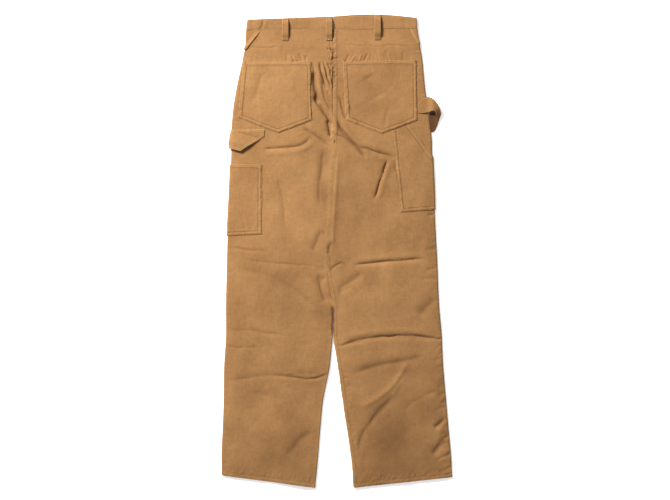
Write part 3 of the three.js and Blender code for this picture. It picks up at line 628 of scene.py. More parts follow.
def duck_canvas(name, light, dark, worn, painted_shade_colour):
    """Cotton duck: a close plain weave of thick and thin yarns, piece-dyed and then washed. It is
    quite matt, its thick yarns show as short pale and dark streaks along and across, and the dye
    has worn off the turned edges and seams. A per-point attribute makes it paler where positive,
    for those worn edges and seams and in places for painted light, and darker towards a shade
    colour where negative, which is painted shade in creases, stitch grooves, the inside of the
    hammer loop and on slopes turned from the light. Real yarns are about 0.6 mm apart, finer than
    the render shows, so the weave is drawn at 1.4 mm."""
    material, tree, shader = new_material(name, {
        "Roughness": 0.92, "Specular IOR Level": 0.25,
        "Sheen Weight": 0.08, "Sheen Tint": linear(worn), "Sheen Roughness": 0.6})
    place = add_node(tree, "ShaderNodeUVMap", {}, uv_map="cloth")

    def noise(scales, detail, roughness=0.6):
        stretch = add_node(tree, "ShaderNodeMapping", {"Vector": (place, "UV"), "Scale": (*scales, 1)})
        return add_node(tree, "ShaderNodeTexNoise", {"Vector": (stretch, "Vector"), "Scale": 1.0,
                                                     "Detail": detail, "Roughness": roughness})

    def combine(operation, first, second, third=0.0):
        return add_node(tree, "ShaderNodeMath", {0: first, 1: second, 2: third}, operation=operation)

    down_yarns = noise((420, 45), 3.0)
    cross_yarns = noise((45, 520), 3.0)
    mottle = noise((150, 130), 4.0, 0.7)
    fade = noise((11, 9), 3.0)
    yarns = combine("ADD", (down_yarns, "Fac"), (cross_yarns, "Fac"))
    blend = combine("MULTIPLY_ADD", (mottle, "Fac"), 1.3, (yarns, "Value"))
    total = combine("MULTIPLY_ADD", (fade, "Fac"), 2.4, (blend, "Value"))
    tone = add_node(tree, "ShaderNodeMapRange", {"Value": (total, "Value"), "From Min": 1.95,
                                                 "From Max": 3.75})
    colour = mix_colours(tree, (tone, "Result"), linear(dark), linear(light))
    # The per-point attribute: above nought paler, for worn edges and seams and in places painted light;
    # below nought darker, which is painted shade
    wear = add_node(tree, "ShaderNodeAttribute", {}, attribute_name="wear")
    rubbed_and_lit = combine("MULTIPLY", (wear, "Fac"), (mottle, "Fac"))
    rubbed_and_lit = combine("MAXIMUM", (rubbed_and_lit, "Value"), 0.0)
    paler = mix_colours(tree, (rubbed_and_lit, "Value"), (colour, "Result"), linear(worn))
    # Painted shade: darker towards the shade colour where the attribute is below nought
    painted_shade = combine("MULTIPLY", (wear, "Fac"), -0.55)
    painted_shade = combine("MAXIMUM", (painted_shade, "Value"), 0.0)
    deeper = mix_colours(tree, (painted_shade, "Value"), (paler, "Result"), linear(painted_shade_colour))
    tree.links.new(deeper.outputs["Result"], shader.inputs["Base Color"])
    weave = []
    for axis in ("X", "Y"):
        bands = {"Vector": (place, "UV"), "Scale": 1 / WEAVE_PITCH / BANDS_A_UNIT,
                 "Distortion": 1.6, "Detail": 2.0}
        weave.append(add_node(tree, "ShaderNodeTexWave", bands, wave_type="BANDS", bands_direction=axis))
    crossing = combine("ADD", (weave[0], "Fac"), (weave[1], "Fac"))
    thread = combine("MULTIPLY_ADD", (yarns, "Value"), 2.0, (crossing, "Value"))
    height = combine("MULTIPLY_ADD", (mottle, "Fac"), 1.5, (thread, "Value"))
    bump = add_node(tree, "ShaderNodeBump", {"Height": (height, "Value"), "Strength": 0.3,
                                             "Distance": 0.0003})
    tree.links.new(bump.outputs["Normal"], shader.inputs["Normal"])
    return material


def sewing_thread():
    """Spun polyester topstitching thread, dyed close to the cloth: smooth and a little glossy."""
    return new_material("sewing thread", {"Base Color": linear("684823"), "Roughness": 0.55})[0]


def antique_brass():
    """A stamped brass button, dulled in a bath: its colour is mottled in small spots between dark and
    pale brass.
    """
    material, tree, shader = new_material("antique brass", {"Metallic": 1.0, "Roughness": 0.42})
    place = add_node(tree, "ShaderNodeTexCoord", {})
    spots = add_node(tree, "ShaderNodeTexNoise", {"Vector": (place, "Object"), "Scale": 600.0,
                                                  "Detail": 3.0})
    colour = mix_colours(tree, (spots, "Fac"), linear("6b4f2a"), linear("a98850"))
    tree.links.new(colour.outputs["Result"], shader.inputs["Base Color"])
    return material


# The last colour is the one that painted shade darkens the canvas towards
CANVAS = duck_canvas("duck canvas", light="88633c", dark="6a4927", worn="9c774a", painted_shade_colour="4a2e16")
THREAD = sewing_thread()
BRASS = antique_brass()

# Sewing

thread_rows = {}
STITCH_SIZE = (0.00135, 0.00034, 0.00026)
STITCH_REACH = 0.0008  # how far to each side a stitch looks for its direction
TACK_PITCH = 0.0006


def stitch_shape():
    """One stitch, modelled once: a thread's short arch, lying along X."""
    bpy.ops.mesh.primitive_ico_sphere_add(subdivisions=1, radius=1)
    stitch = bpy.context.object
    bpy.ops.object.mode_set(mode="EDIT")
    bpy.ops.transform.resize(value=STITCH_SIZE)
    bpy.ops.object.mode_set(mode="OBJECT")
    vertices = np.array([v.co[:] for v in stitch.data.vertices])
    faces = np.array([p.vertices[:] for p in stitch.data.polygons])
    bpy.data.objects.remove(stitch)
    return vertices, faces


STITCH_POINTS, STITCH_FACES = stitch_shape()


def unit(vectors):
    return vectors / np.maximum(np.linalg.norm(vectors, axis=1), 1e-9)[:, None]


def sew(owner, points, normals, pitch=STITCH_PITCH):
    """Adds a row of stitches along points on the cloth's face."""
    lengths = ways_along(points)
    count = int(lengths[-1] / pitch)
    if count < 1:
        return
    ways = (np.arange(count) + 0.5) * lengths[-1] / count

    def at_ways(shift, columns):
        return np.stack([np.interp(ways + shift, lengths, columns[:, k]) for k in range(3)], axis=1)

    along = unit(at_ways(STITCH_REACH, points) - at_ways(-STITCH_REACH, points))
    up = at_ways(0, normals)
    up = unit(up - along * (up * along).sum(axis=1)[:, None])
    thread_rows.setdefault(owner, []).append((at_ways(0, points), along, up))


def tack(owner, point, along, up, length, width):
    """Adds a bartack: close stitches across a short bar."""
    along = np.asarray(along, float) / np.linalg.norm(along)
    up = np.asarray(up, float) / np.linalg.norm(up)
    across = np.cross(up, along)
    ways = np.arange(-length / 2, length / 2, TACK_PITCH)
    at = np.asarray(point) + ways[:, None] * along
    tilt = np.where(np.arange(len(ways)) % 2, 0.25, -0.25)[:, None]
    lie = unit(across + along * tilt) * width / (2 * STITCH_SIZE[0])
    thread_rows.setdefault(owner, []).append((at + up * 0.0001, lie, np.tile(up, (len(ways), 1))))


def make_thread(owner):
    """All the stitches on one piece of cloth, as one mesh."""
    vertices, faces, count = [], [], 0
    for at, along, up in thread_rows[owner]:
        side = np.cross(up, along)
        side /= np.linalg.norm(side, axis=1)[:, None]
        for k in range(len(at)):
            turn = np.stack([along[k], side[k], up[k]])
            vertices.append(STITCH_POINTS @ turn + at[k])
            faces.append(STITCH_FACES + count)
            count += len(STITCH_POINTS)
    mesh = bpy.data.meshes.new(f"{owner} stitching")
    mesh.from_pydata(np.concatenate(vertices).tolist(), [], np.concatenate(faces).tolist())
    thread = bpy.data.objects.new(f"{owner}_stitching", mesh)
    bpy.context.collection.objects.link(thread)
    select_only(thread)
    bpy.ops.object.shade_smooth()
    thread.data.materials.append(THREAD)
    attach(thread, "root")


# Leg panels


def facing_reach(side, v, layer):
    """How far the hip facing reaches from the side edge, on the back or on the front."""
    hip = HIP[side]
    drop = WAIST_MIDDLE[1] - MID_LINE(v)[..., 1]
    share = drop / hip[f"{layer}_drop"]
    if layer == "front":
        return np.maximum(0, hip["front"] * (1 - share))
    upper = hip["back"] + (QUARTER_TURN - hip["back"]) * share
    tail = np.maximum(0, QUARTER_TURN * (1 - (drop - hip["back_drop"]) / MOUTH_TAIL))
    return np.where(share < 1, upper, tail)


# Areas where the cloth is coloured paler, or darker where negative. The paler ones are partly fading
# from wear and washing and partly painted light; the darker ones are painted shade on broad slopes
# and hollows turned from the light. For each: the middle of the area seen from above, its reach
# across and along, and how much
FADE_AND_PAINTED_LIGHT_AREAS = [
    (-0.150, 0.370, 0.070, 0.070, 0.25),
    (-0.110, 0.130, 0.075, 0.120, 0.35),
    (0.150, 0.360, 0.035, 0.090, 0.15),
    (0.070, 0.355, 0.034, 0.062, -0.55),
    (0.035, 0.130, 0.035, 0.090, -0.26),
    (-0.032, 0.180, 0.018, 0.070, -0.22),
    (0.170, 0.140, 0.050, 0.090, 0.12),
    (0.110, -0.110, 0.080, 0.060, 0.08),
    (0.110, -0.270, 0.110, 0.030, -0.18),
    (0.118, -0.425, 0.050, 0.085, -0.75),
    (0.200, -0.470, 0.060, 0.050, -0.35),
    (0.215, -0.360, 0.030, 0.040, -0.25),
    (-0.094, -0.448, 0.030, 0.042, -0.60),
    (0.120, -0.262, 0.110, 0.016, -0.35),
    (-0.120, -0.210, 0.100, 0.070, 0.20),
    (0.120, -0.190, 0.100, 0.060, 0.15),
    (-0.200, -0.300, 0.060, 0.100, 0.05),
    (-0.150, -0.500, 0.110, 0.030, -0.14),
    (0.150, -0.500, 0.110, 0.030, -0.14),
]
# Lines of painted shade, in creases and in the crack between the legs, where the cloth is coloured
# darker: line and half width in millimetres, and amount
PAINTED_CREASE_SHADE_ROWS = [
    ([-53, 405, -49.5, 380, -47, 352, -44.5, 334], 7.2, 1),
    ([-8.5, 472, -8, 430, -8.8, 395, -8.5, 345], 3.4, 1.3),
    ([-15, 450, -13, 410], 5, 0.35),
    ([-165, 518, -169, 503, -177.5, 486], 3.4, 0.9),
    ([-245, -180, -182, -182, -120, -190], 4, 0.4),
    ([-53, 352, -43, 333, -26, 308, -9, 284], 2.6, 1),
    ([-30, 372, -20, 335, -10, 308], 7, 0.35),
    ([-19, 296, -16.5, 277, -15, 256], 4, 0.8),
    ([8, 350, 13, 322, 23.5, 290], 3, 0.5),
    ([0, 294, 18, 265, 43, 238, 69, 204], 5.5, 0.6),
    ([-4, 262, 24, 252, 46, 236], 3.5, 0.45),
    ([44, 236, 97, 221, 130, 210], 2.8, 0.4),
    ([-79, 278, -57, 265, -11, 235], 3, 0.65),
    ([-54, 264, -69, 245, -88, 236, -129, 232.5], 6, 0.35),
    ([-29, 236, -25, 205, -34, 178, -32, 140, -27, 90], 10, 0.6),
    ([-26, 52, -43, 20, -54, -4], 8, 0.55),
    ([-6, 26, -16, 6, -17, -14], 6, 0.6),
    ([16, -22, -18, -44], 5, 0.4),
    ([-25, -48, -36, -80, -21, -118], 6, 0.4),
    ([-23.5, -40, -16.5, -80, -10.5, -112], 3.2, 0.95),
    ([-9.8, -118, -8.8, -150, -8.2, -190], 4, 3.6),
    ([-219, -55, -123, -69, -87, -87, -51, -127], 10, 0.25),
    ([-135, 170, -120, 107, -117, 46], 5, 0.35),
    ([-245, -288, -190, -284], 4, 0.25),
    ([-142, -278, -53, -286, -20, -276], 3, 0.35),
    ([6, -212, 69, -199, 131, -192, 230, -199], 4, 0.35),
    ([30, -272, 75, -257, 135, -246, 236, -241], 9, 0.4),
    ([133, -312, 94, -359, 72, -396, 55, -433, 65, -476], 12, 0.4),
    ([-136, -478, -90, -433, -54, -400], 14, 0.3),
    ([264, -372, 222, -394], 5, 0.4),
    ([264, -402, 232, -432, 219, -456], 8, 0.45),
    ([228, -110, 190, -144], 12, 0.3),
    ([-229, 271, -170, 254.5], 1.8, 0.8),
    ([119, 345, 104, 272], 6, 0.3),
    ([27, 332, 50, 278], 5, 0.35),
]
PAINTED_CREASE_SHADE_LINES = [(*in_metres([row[:2]])[0], row[2], 0) for row in PAINTED_CREASE_SHADE_ROWS]


def fade_and_painted_light_by_place(x, y):
    """How much paler or darker the cloth is coloured at points seen from above: painted shade along
    creases, and in broad areas fading with painted light and shade.
    """
    paler = fold_height(x + 0.0015 * unevenness(x, y, 0.012, 61), y, PAINTED_CREASE_SHADE_LINES)
    for middle_x, middle_y, across, along, amount in FADE_AND_PAINTED_LIGHT_AREAS:
        paler += amount * np.exp(-(((x - middle_x) / across) ** 2) - ((y - middle_y) / along) ** 2)
    return paler


# Creases pressed into the fronts, which the garment lies on, mirrored from leg to leg
HIDDEN_CREASES = in_metres([
    ([30, 262, 90, 222, 190, 200], 6, 1.1, 0),
    ([20, 235, 70, 180, 110, 120], 7, 1, 0),
    ([60, 400, 110, 385, 180, 392], 7, 0.8, 0),
    ([18, -150, 100, -176, 220, -168], 7, 1.2, 0),
    ([30, -205, 120, -222, 230, -210], 6, 1.1, 0),
    ([50, -275, 130, -250, 200, -262], 7, 0.9, 0),
    ([70, -420, 140, -440, 230, -425], 8, 0.9, 0),
])
DENT_MARGIN = 0.012
DEEPEST_DENT = 0.0014


def hidden_dents(side, v, s):
    """How far the fronts are pressed in, never past the face that they rest on."""
    points = leg_point(side, v, s)
    x, y = points[..., 0] * side, points[..., 1]
    ends = way_to_centre(side, v, "front")
    inside = smooth(QUARTER_TURN, DENT_MARGIN, np.abs(s)) * smooth(0, DENT_MARGIN, ends - np.abs(s))
    soft = 0.0003 * (1 + unevenness(x, y, 0.045, 51))
    stray = 0.004 * unevenness(x, y, 0.030, 52 + side)
    creases = -fold_height(x + stray, y + stray, HIDDEN_CREASES)
    return inside * np.clip(soft + creases, 0, DEEPEST_DENT)


PANEL_WIDTH = 0.23
PANEL_CELLS = {"back": (407, 120), "front": (206, 50)}
LEAST_RELIEF = -0.0026
# Stretches of a back with closer rows, from the waist down, and closer columns, from the side in:
# from, to and how many times closer
CROWDED_ROWS = [
    (0.03, 0.31, 1.7),
    (0.510, 0.536, 2.4),
    (0.682, 0.724, 2.3),
    (0.770, 0.792, 2.0),
    (1.01, 1.04, 1.6),
]
CROWDED_COLS = [(0.115, 0.24, 1.3), (0.19, 0.24, 1.4)]


def seam_relief(side, layer, v, s, ends):
    """Seams, hems and the puckers along them, as heights above the plain cloth."""
    if layer == "front":
        return -hidden_dents(side, v, s)
    y = MID_LINE(v)[..., 1]
    to_centre = ends - np.abs(s)
    allowance = smooth(0.0105, 0.0085, to_centre)
    seat = smooth(0.245, 0.262, y)
    lapped = 1.0 if side > 0 else 0.3
    height = seat * lapped * 0.0007 * allowance
    broken = 0.9 + 0.9 * unevenness(0 * y, y, 0.0085, 33)
    height -= seat * 0.0014 * broken * bell(to_centre, 0.0018) * (0.4 + 0.6 * smooth(0.3, 0.4, y))
    jump = unevenness(to_centre, y, 0.0052, 31 + side)
    height += seat * 0.0009 * jump * bell(to_centre, 0.007) * smooth(0.32, 0.37, y)
    crest = smooth(0.232, 0.215, y) * smooth(-0.08, 0.0, y)
    height += crest * (0.0012 if side > 0 else -0.0006) * bell(to_centre, 0.006)
    if side > 0:
        inseam = smooth(0.25, 0.22, y)
        height += inseam * 0.0005 * allowance
        height += inseam * 0.0003 * unevenness(to_centre, y, 0.0060, 35) * bell(to_centre, 0.012)
    from_hem = (LAST - v) * LAST_FALL
    hem = smooth(HEM_DEPTH, HEM_DEPTH - 0.0015, from_hem)
    rope = unevenness(np.abs(s) + 0.6 * from_hem, from_hem, 0.0055, 37)
    height += hem * (0.0004 + 0.0005 * rope)
    height -= 0.0007 * bell(from_hem - HEM_DEPTH, 0.0014)
    return height


def spread(count, length, crowded):
    """Shares of a length, closer together by a factor in each crowded stretch (from, to, factor)."""
    fine = np.linspace(0, 1, 4000)
    crowd = np.ones_like(fine)
    ways = fine * length
    for first, last, factor in crowded:
        inside = smooth(first - 0.01, first + 0.01, ways) * smooth(last + 0.01, last - 0.01, ways)
        crowd = crowd + (factor - 1) * inside
    ways = np.concatenate([[0], np.cumsum((crowd[1:] + crowd[:-1]) / 2)])
    return np.interp(np.linspace(0, ways[-1], count), ways, fine)


def panel_grid(side, layer, rows, cols):
    """v and s over a whole leg panel."""
    length = WAIST_MIDDLE[1] - SECTIONS["mid_y"][-1]
    down = spread(rows, length, CROWDED_ROWS if layer == "back" else [])
    y = WAIST_MIDDLE[1] - (SEAM_GAP if layer == "back" else 0) - length * down
    dense = np.linspace(0, LAST, 2000)
    v = np.interp(-y, -MID_LINE(dense)[..., 1], dense)
    start = facing_reach(side, v, layer) + SEAM_GAP / 2
    end = way_to_centre(side, v, layer)
    share = spread(cols, PANEL_WIDTH, CROWDED_COLS if layer == "back" else [])
    s = start[:, None] + (end - start)[:, None] * share[None, :]
    v = np.repeat(v[:, None], len(share), axis=1)
    return v, LAYER_SIGN[layer] * s, np.repeat(end[:, None], len(share), axis=1)


def make_panel(side, layer):
    name = f"{layer}_{SIDE_NAME[side]}"
    v, s, ends = panel_grid(side, layer, *PANEL_CELLS[layer])
    points, normals = leg_frame(side, v, s)
    relief = seam_relief(side, layer, v, s, ends)
    points = points + normals * np.maximum(relief, LEAST_RELIEF)[..., None]
    x, y = from_above(points)
    wear = 0.4 * bell(ends - np.abs(s), 0.006)
    # Painted shade along creases and painted light and shade in broad areas, with some fading; the hidden
    # fronts get a weaker mirrored copy
    wear += fade_and_painted_light_by_place(x, y) if layer == "back" else 0.5 * fade_and_painted_light_by_place(-x, y + 0.02)
    uv = np.stack([s * side, MID_LINE(v)[..., 1]], axis=-1)
    piece = wall(name + "_cloth", points, turned_like(rows_from(points), normals), CLOTH, uv, wear)
    dress(piece, name)


for leg in (LEFT, RIGHT):
    for layer in ("back", "front"):
        make_panel(leg, layer)


def make_hip_facing(side):
    """The facing behind a hip pocket's mouth, round the side edge from back to front."""
    name = f"hip_facing_{SIDE_NAME[side]}"
    dense = np.linspace(0, 5, 2000)
    end = dense[np.argmax(facing_reach(side, dense, "front") < FACING_TIP)]
    v = np.linspace(0.005, end, 60)
    over = facing_reach(side, v, "back") - SEAM_GAP
    under = facing_reach(side, v, "front") - SEAM_GAP / 2
    share = np.linspace(0, 1, 40)
    s = -under[:, None] + (over + under)[:, None] * share[None, :]
    v = np.repeat(v[:, None], len(share), axis=1)
    points, normals = leg_frame(side, v, s)
    from_mouth = np.where(over[:, None] > 0.004, over[:, None] - s, 1)
    from_waist = WAIST_MIDDLE[1] - MID_LINE(v)[..., 1]
    stand = HIP[side]["stand"] * smooth(0.0120, 0.0035, from_mouth) * smooth(0, 0.016, from_waist)
    points = points + normals * (stand * smooth(0, 0.0014, from_mouth))[..., None]
    normals = np.where(np.abs(stand)[..., None] > 0, rows_from(points), normals)
    normals *= np.sign(normals[..., 2:] * np.where(s > 0, 1, -1)[..., None] + 1e-9)
    uv = np.stack([s * side, MID_LINE(v)[..., 1]], axis=-1)
    piece = wall(name + "_cloth", points, normals, CLOTH, uv, 0.5 * smooth(0.007, 0.004, from_mouth))
    dress(piece, name)


make_hip_facing(LEFT)
make_hip_facing(RIGHT)

# Patch pockets and the flap


def along_line(line, share):
    """Points at shares of a line's length."""
    line = np.array(line, float)
    lengths = ways_along(line)
    ways = share * lengths[-1]
    return np.stack([np.interp(ways, lengths, line[:, k]) for k in range(2)], axis=-1)


def patch(side, top, bottom, across, down):
    """v and s over a patch between a top and a bottom line."""
    p = np.linspace(0, 1, across)
    q = np.linspace(0, 1, down)
    upper, lower = along_line(top, p), along_line(bottom, p)
    v1, s1 = place_on_leg(side, upper[:, 0], upper[:, 1])
    v2, s2 = place_on_leg(side, lower[:, 0], lower[:, 1])
    v = v1 + (v2 - v1) * q[:, None]
    s = s1 + (s2 - s1) * q[:, None]
    return v, s


def distance_inside(points, edge):
    """Distance of points from a line seen from above."""
    best = np.full(points.shape[:-1], np.inf)
    for start, end in zip(edge[:-1], edge[1:]):
        start, end = np.array(start), np.array(end)
        length = np.linalg.norm(end - start)
        ahead = (end - start) / length
        off = points[..., :2] - start
        along = np.clip(off @ ahead, 0, length)
        best = np.minimum(best, np.linalg.norm(off - along[..., None] * ahead, axis=-1))
    return best


def row_grooves(distance):
    """1 at the inner of two rows of stitches and half at the outer, falling away beside them."""
    return 0.5 * bell(distance - ROW_IN, ROW_HALF) + bell(distance - ROW_IN - ROW_APART, ROW_HALF)


def sewn_edge(distance, seed, points):
    """The relief near a sewn edge: the turned-under seam allowance, with grooves at its rows."""
    ridge = 0.0004 * smooth(0.0098, 0.0080, distance)
    pucker = 0.00045 * unevenness(*from_above(points), 0.0060, seed) * bell(distance, 0.012)
    rounding = 0.0004 * smooth(0.0016, 0, distance)
    return ridge - 0.0005 * row_grooves(distance) + pucker - rounding


def make_patch(name, side, top, bottom, cells, sewn, free, flat, area, belly=0.0, lift=None, rows=1):
    """A patch of cloth on a leg, with a sewn line round it and a free line at its mouth."""
    v, s = patch(side, top, bottom, *cells)
    points, normals = patch_frame(side, v, s)
    to_seam = distance_inside(points, sewn)
    to_mouth = distance_inside(points, free)
    near = np.minimum(to_seam, to_mouth)
    relief = PATCH_RISE + rows * sewn_edge(to_seam, len(name), points)
    relief += belly * smooth(0.008, 0.035, to_seam)
    relief += rows * 0.0003 * (smooth(0.012, 0.010, to_mouth) - row_grooves(to_mouth))
    if lift is not None:
        relief += lift(*from_above(points))
    points = points + normals * relief[..., None]
    finer = turned_like(rows_from(points), normals)
    uv = np.stack([s * side, MID_LINE(v)[..., 1]], axis=-1)
    # Paler at the rim, partly from worn edges and partly painted light that evens out the shade along the
    # patch's edge; darker at the rows of stitches, which is painted shade in their grooves
    rubbed_and_lit = 0.8 * bell(near - 0.0004, 0.0014) + 0.35 * bell(near - 0.0048, 0.0016)
    wear = rubbed_and_lit - 0.9 * row_grooves(near) * rows + fade_and_painted_light_by_place(*from_above(points))
    slim = CLOTH * (0.55 + 0.45 * smooth(0, 0.002, near))
    points = points - finer * ((CLOTH - slim) / 2)[..., None]
    piece = wall(name + "_cloth", points, finer, slim, uv, wear)
    dress(piece, name)


PATCH_RISE = CLOTH + SEAM_GAP + 0.0002
POCKET_LEFT_TOP = ((-0.209, 0.426), (-0.0575, 0.426))
POCKET_LEFT_BOTTOM = ((-0.221, 0.301), (-0.131, 0.266), (-0.055, 0.295))
POCKET_LEFT_SEAM = (POCKET_LEFT_TOP[0], *POCKET_LEFT_BOTTOM, POCKET_LEFT_TOP[1])
POCKET_RIGHT_TOP = ((0.0145, 0.427), (0.1795, 0.429))
POCKET_RIGHT_BOTTOM = ((0.022, 0.295), (0.101, 0.264), (0.181, 0.295))
POCKET_RIGHT_SEAM = (POCKET_RIGHT_TOP[0], *POCKET_RIGHT_BOTTOM, POCKET_RIGHT_TOP[1])
LEG_POCKET_TOP = ((-0.2405, 0.196), (-0.168, 0.196))
LEG_POCKET_BOTTOM = ((-0.2465, 0.035), (-0.168, 0.039))
LEG_POCKET_SEAM = (*LEG_POCKET_BOTTOM, LEG_POCKET_TOP[1])
TOOL_TOP = ((0.124, 0.2705), (0.162, 0.2855), (0.190, 0.249), (0.201, 0.231), (0.2175, 0.212))
TOOL_BOTTOM = ((0.143, 0.088), (0.2235, 0.094))
FLAP_TOP = ((-0.2380, 0.273), (-0.161, 0.275))
FLAP_BOTTOM = ((-0.2385, 0.231), (-0.215, 0.225), (-0.163, 0.258))
FLAP_LIFT = 0.006
FLAP_BEND = 0.026  # how far below its crease the flap keeps bending up

# Patch pockets: name, side, top, bottom, cells, sewn line, free line, flat size, area and belly
PATCHES = [
    ("back_pocket_left", LEFT, POCKET_LEFT_TOP, POCKET_LEFT_BOTTOM, (118, 122),
     POCKET_LEFT_SEAM, POCKET_LEFT_TOP, (0.168, 0.162), 0.0232, 0.0008),
    ("back_pocket_right", RIGHT, POCKET_RIGHT_TOP, POCKET_RIGHT_BOTTOM, (118, 122),
     POCKET_RIGHT_SEAM, POCKET_RIGHT_TOP, (0.168, 0.162), 0.0235, 0.0008),
    ("leg_pocket_left", LEFT, LEG_POCKET_TOP, LEG_POCKET_BOTTOM, (60, 118),
     LEG_POCKET_SEAM, LEG_POCKET_TOP, (0.082, 0.162), 0.0122, 0.0006),
    ("tool_pocket_right", RIGHT, TOOL_TOP, TOOL_BOTTOM, (76, 130),
     (TOOL_TOP[0], *TOOL_BOTTOM), TOOL_TOP[1:], (0.105, 0.200), 0.0142, 0.0006),
]
for row in PATCHES:
    make_patch(*row)


def flap_lift(x, y):
    """The flap bends up along a crease from its outer top corner to its right end."""
    below_crease = np.clip(0.2730 - 0.29 * (x + 0.236) - y, -0.03, FLAP_BEND)
    bent = np.sqrt((below_crease + 0.0005) ** 2 + 0.0015**2)
    rise = (below_crease + bent) / (2 * FLAP_BEND)
    return FLAP_LIFT * np.clip(rise, 0, 1.1) * (0.35 + 0.65 * smooth(-0.246, -0.226, x))


make_patch("leg_flap_left", LEFT, FLAP_TOP, FLAP_BOTTOM, (60, 36), FLAP_TOP, FLAP_BOTTOM,
           (0.082, 0.052), 0.0029, lift=flap_lift, rows=0.2)

# Waistband


def band_points(side, way, share):
    """The middle of a waistband half, at a way from the centre back and a share of its height."""
    corner = np.array([SECTIONS[f"{SIDE_NAME[side]}_{axis}"][0] for axis in "xy"])
    outer = corner + (BAND_CORNER[side] - corner) * share[..., None]
    inner = WAIST_MIDDLE + (BAND_MIDDLE - WAIST_MIDDLE) * share[..., None]
    across = inner - outer
    width = np.linalg.norm(across, axis=-1)
    across /= width[..., None]
    width = width - BAND_CLOTH / 2 - SEAM_GAP / 2
    outer = outer + across * (BAND_CLOTH / 2)
    floor = STRAP_CLOTH + SEAM_GAP + BAND_CLOTH / 2
    radius = (WAIST_FLOOR + 2 * EDGE_RADIUS + SECTIONS["puff"][0] - floor) / 2
    flat = width - radius
    turn = math.pi * radius
    angle = np.clip((way - flat) / radius, 0, math.pi)
    past = np.maximum(way - flat - turn, 0)
    inward = np.where(way < flat, width - way, radius * (1 - np.sin(angle)) + past)
    height = radius * np.cos(angle)
    bow = BAND_BOW * np.sin(math.pi * np.clip(inward / width, 0, 1)) * share if side > 0 else 0
    on_front = (1 - height / radius) / 2
    lift = SEAM_GAP * (2.3 * on_front - 0.3) * smooth(0.1, 0, share)
    point = np.stack([outer[..., 0] + across[..., 0] * inward,
                      outer[..., 1] + across[..., 1] * inward + bow + lift,
                      floor + radius + height], axis=-1)
    return point, 2 * flat + turn, height / radius


def make_waistband(side):
    name = f"waistband_{SIDE_NAME[side]}"
    rows, cols = BAND_CELLS
    share = np.repeat(np.linspace(0, 1, rows)[:, None], cols, axis=1)
    _, whole, _ = band_points(side, np.zeros_like(share), share)
    way = whole * np.linspace(0, 1, cols)[None, :]
    points, _, upness = band_points(side, way, share)
    normals = rows_from(points)
    normals *= np.sign(normals[..., 2] * upness + 1e-9)[..., None]
    edge = np.minimum(share, 1 - share) * BAND_HEIGHT
    puff = 0.0004 * smooth(0.0005, 0.005, edge) - 0.0003 * bell(edge - ROW_IN, 0.0009)
    ripple = 0.00025 * unevenness(*from_above(points), 0.014, 8)
    folds = fold_height(*from_above(points), BAND_FOLDS)
    folds += 0.0005 * unevenness(*from_above(points), 0.045, 9)
    relief = (puff + ripple + np.clip(folds, -0.0014, 0.001)) * (upness > 0.5)
    points = points + normals * relief[..., None]
    uv = points[..., :2].copy()
    # Paler at the edges from wear; on the upper face, painted shade and light by place
    wear = 0.5 * bell(edge, 0.003) + (upness > 0) * fade_and_painted_light_by_place(*from_above(points))
    piece = wall(name + "_cloth", points, normals, BAND_CLOTH - 0.0002, uv, wear)
    dress(piece, name)
    steps = 300
    for row in (0.07, 0.93):
        ways = np.linspace(0.001, 0.38, steps)
        at, _, upness = band_points(side, ways, np.full(steps, row))
        up = np.stack([np.zeros(steps), np.zeros(steps), np.sign(upness)], axis=1)
        level = np.abs(upness) > 0.98
        for part in (level & (upness > 0), level & (upness < 0)):
            sew(name, at[part] + up[part] * (BAND_CLOTH / 2 + 0.00005), up[part])


make_waistband(LEFT)
make_waistband(RIGHT)

# Straps


def strap(name, centre, across, normals, width, thickness):
    """A strap about a line of points, with the direction across it at each."""
    shares = np.linspace(-0.5, 0.5, 11)
    points = centre[:, None, :] + across[:, None, :] * (shares * width)[None, :, None]
    normals = np.repeat(normals[:, None, :], len(shares), axis=1)
    edge = (0.5 - np.abs(shares)) * width
    depth = thickness * (0.55 + 0.45 * smooth(0, 0.0012, edge))[None, :] * np.ones((len(centre), 1))
    uv = np.stack(np.broadcast_arrays((shares * width)[None, :], ways_along(centre)[:, None]), axis=-1)
    piece = wall(name + "_cloth", points, normals, depth, uv, 0.4 * bell(edge, 0.003)[None, :])
    dress(piece, name)


LOOP_WIDTH = 0.014
LOOP_FOOT = 0.006
LOOP_LONGER = 0.003
LOOP_STAND = 0.0052
LOOP_SMOOTHINGS = 14
BACK_LOOPS = {"left": -0.115, "centre": -0.017, "right": 0.092}
FRONT_LOOPS = ("left_side", "left", "right", "right_side")


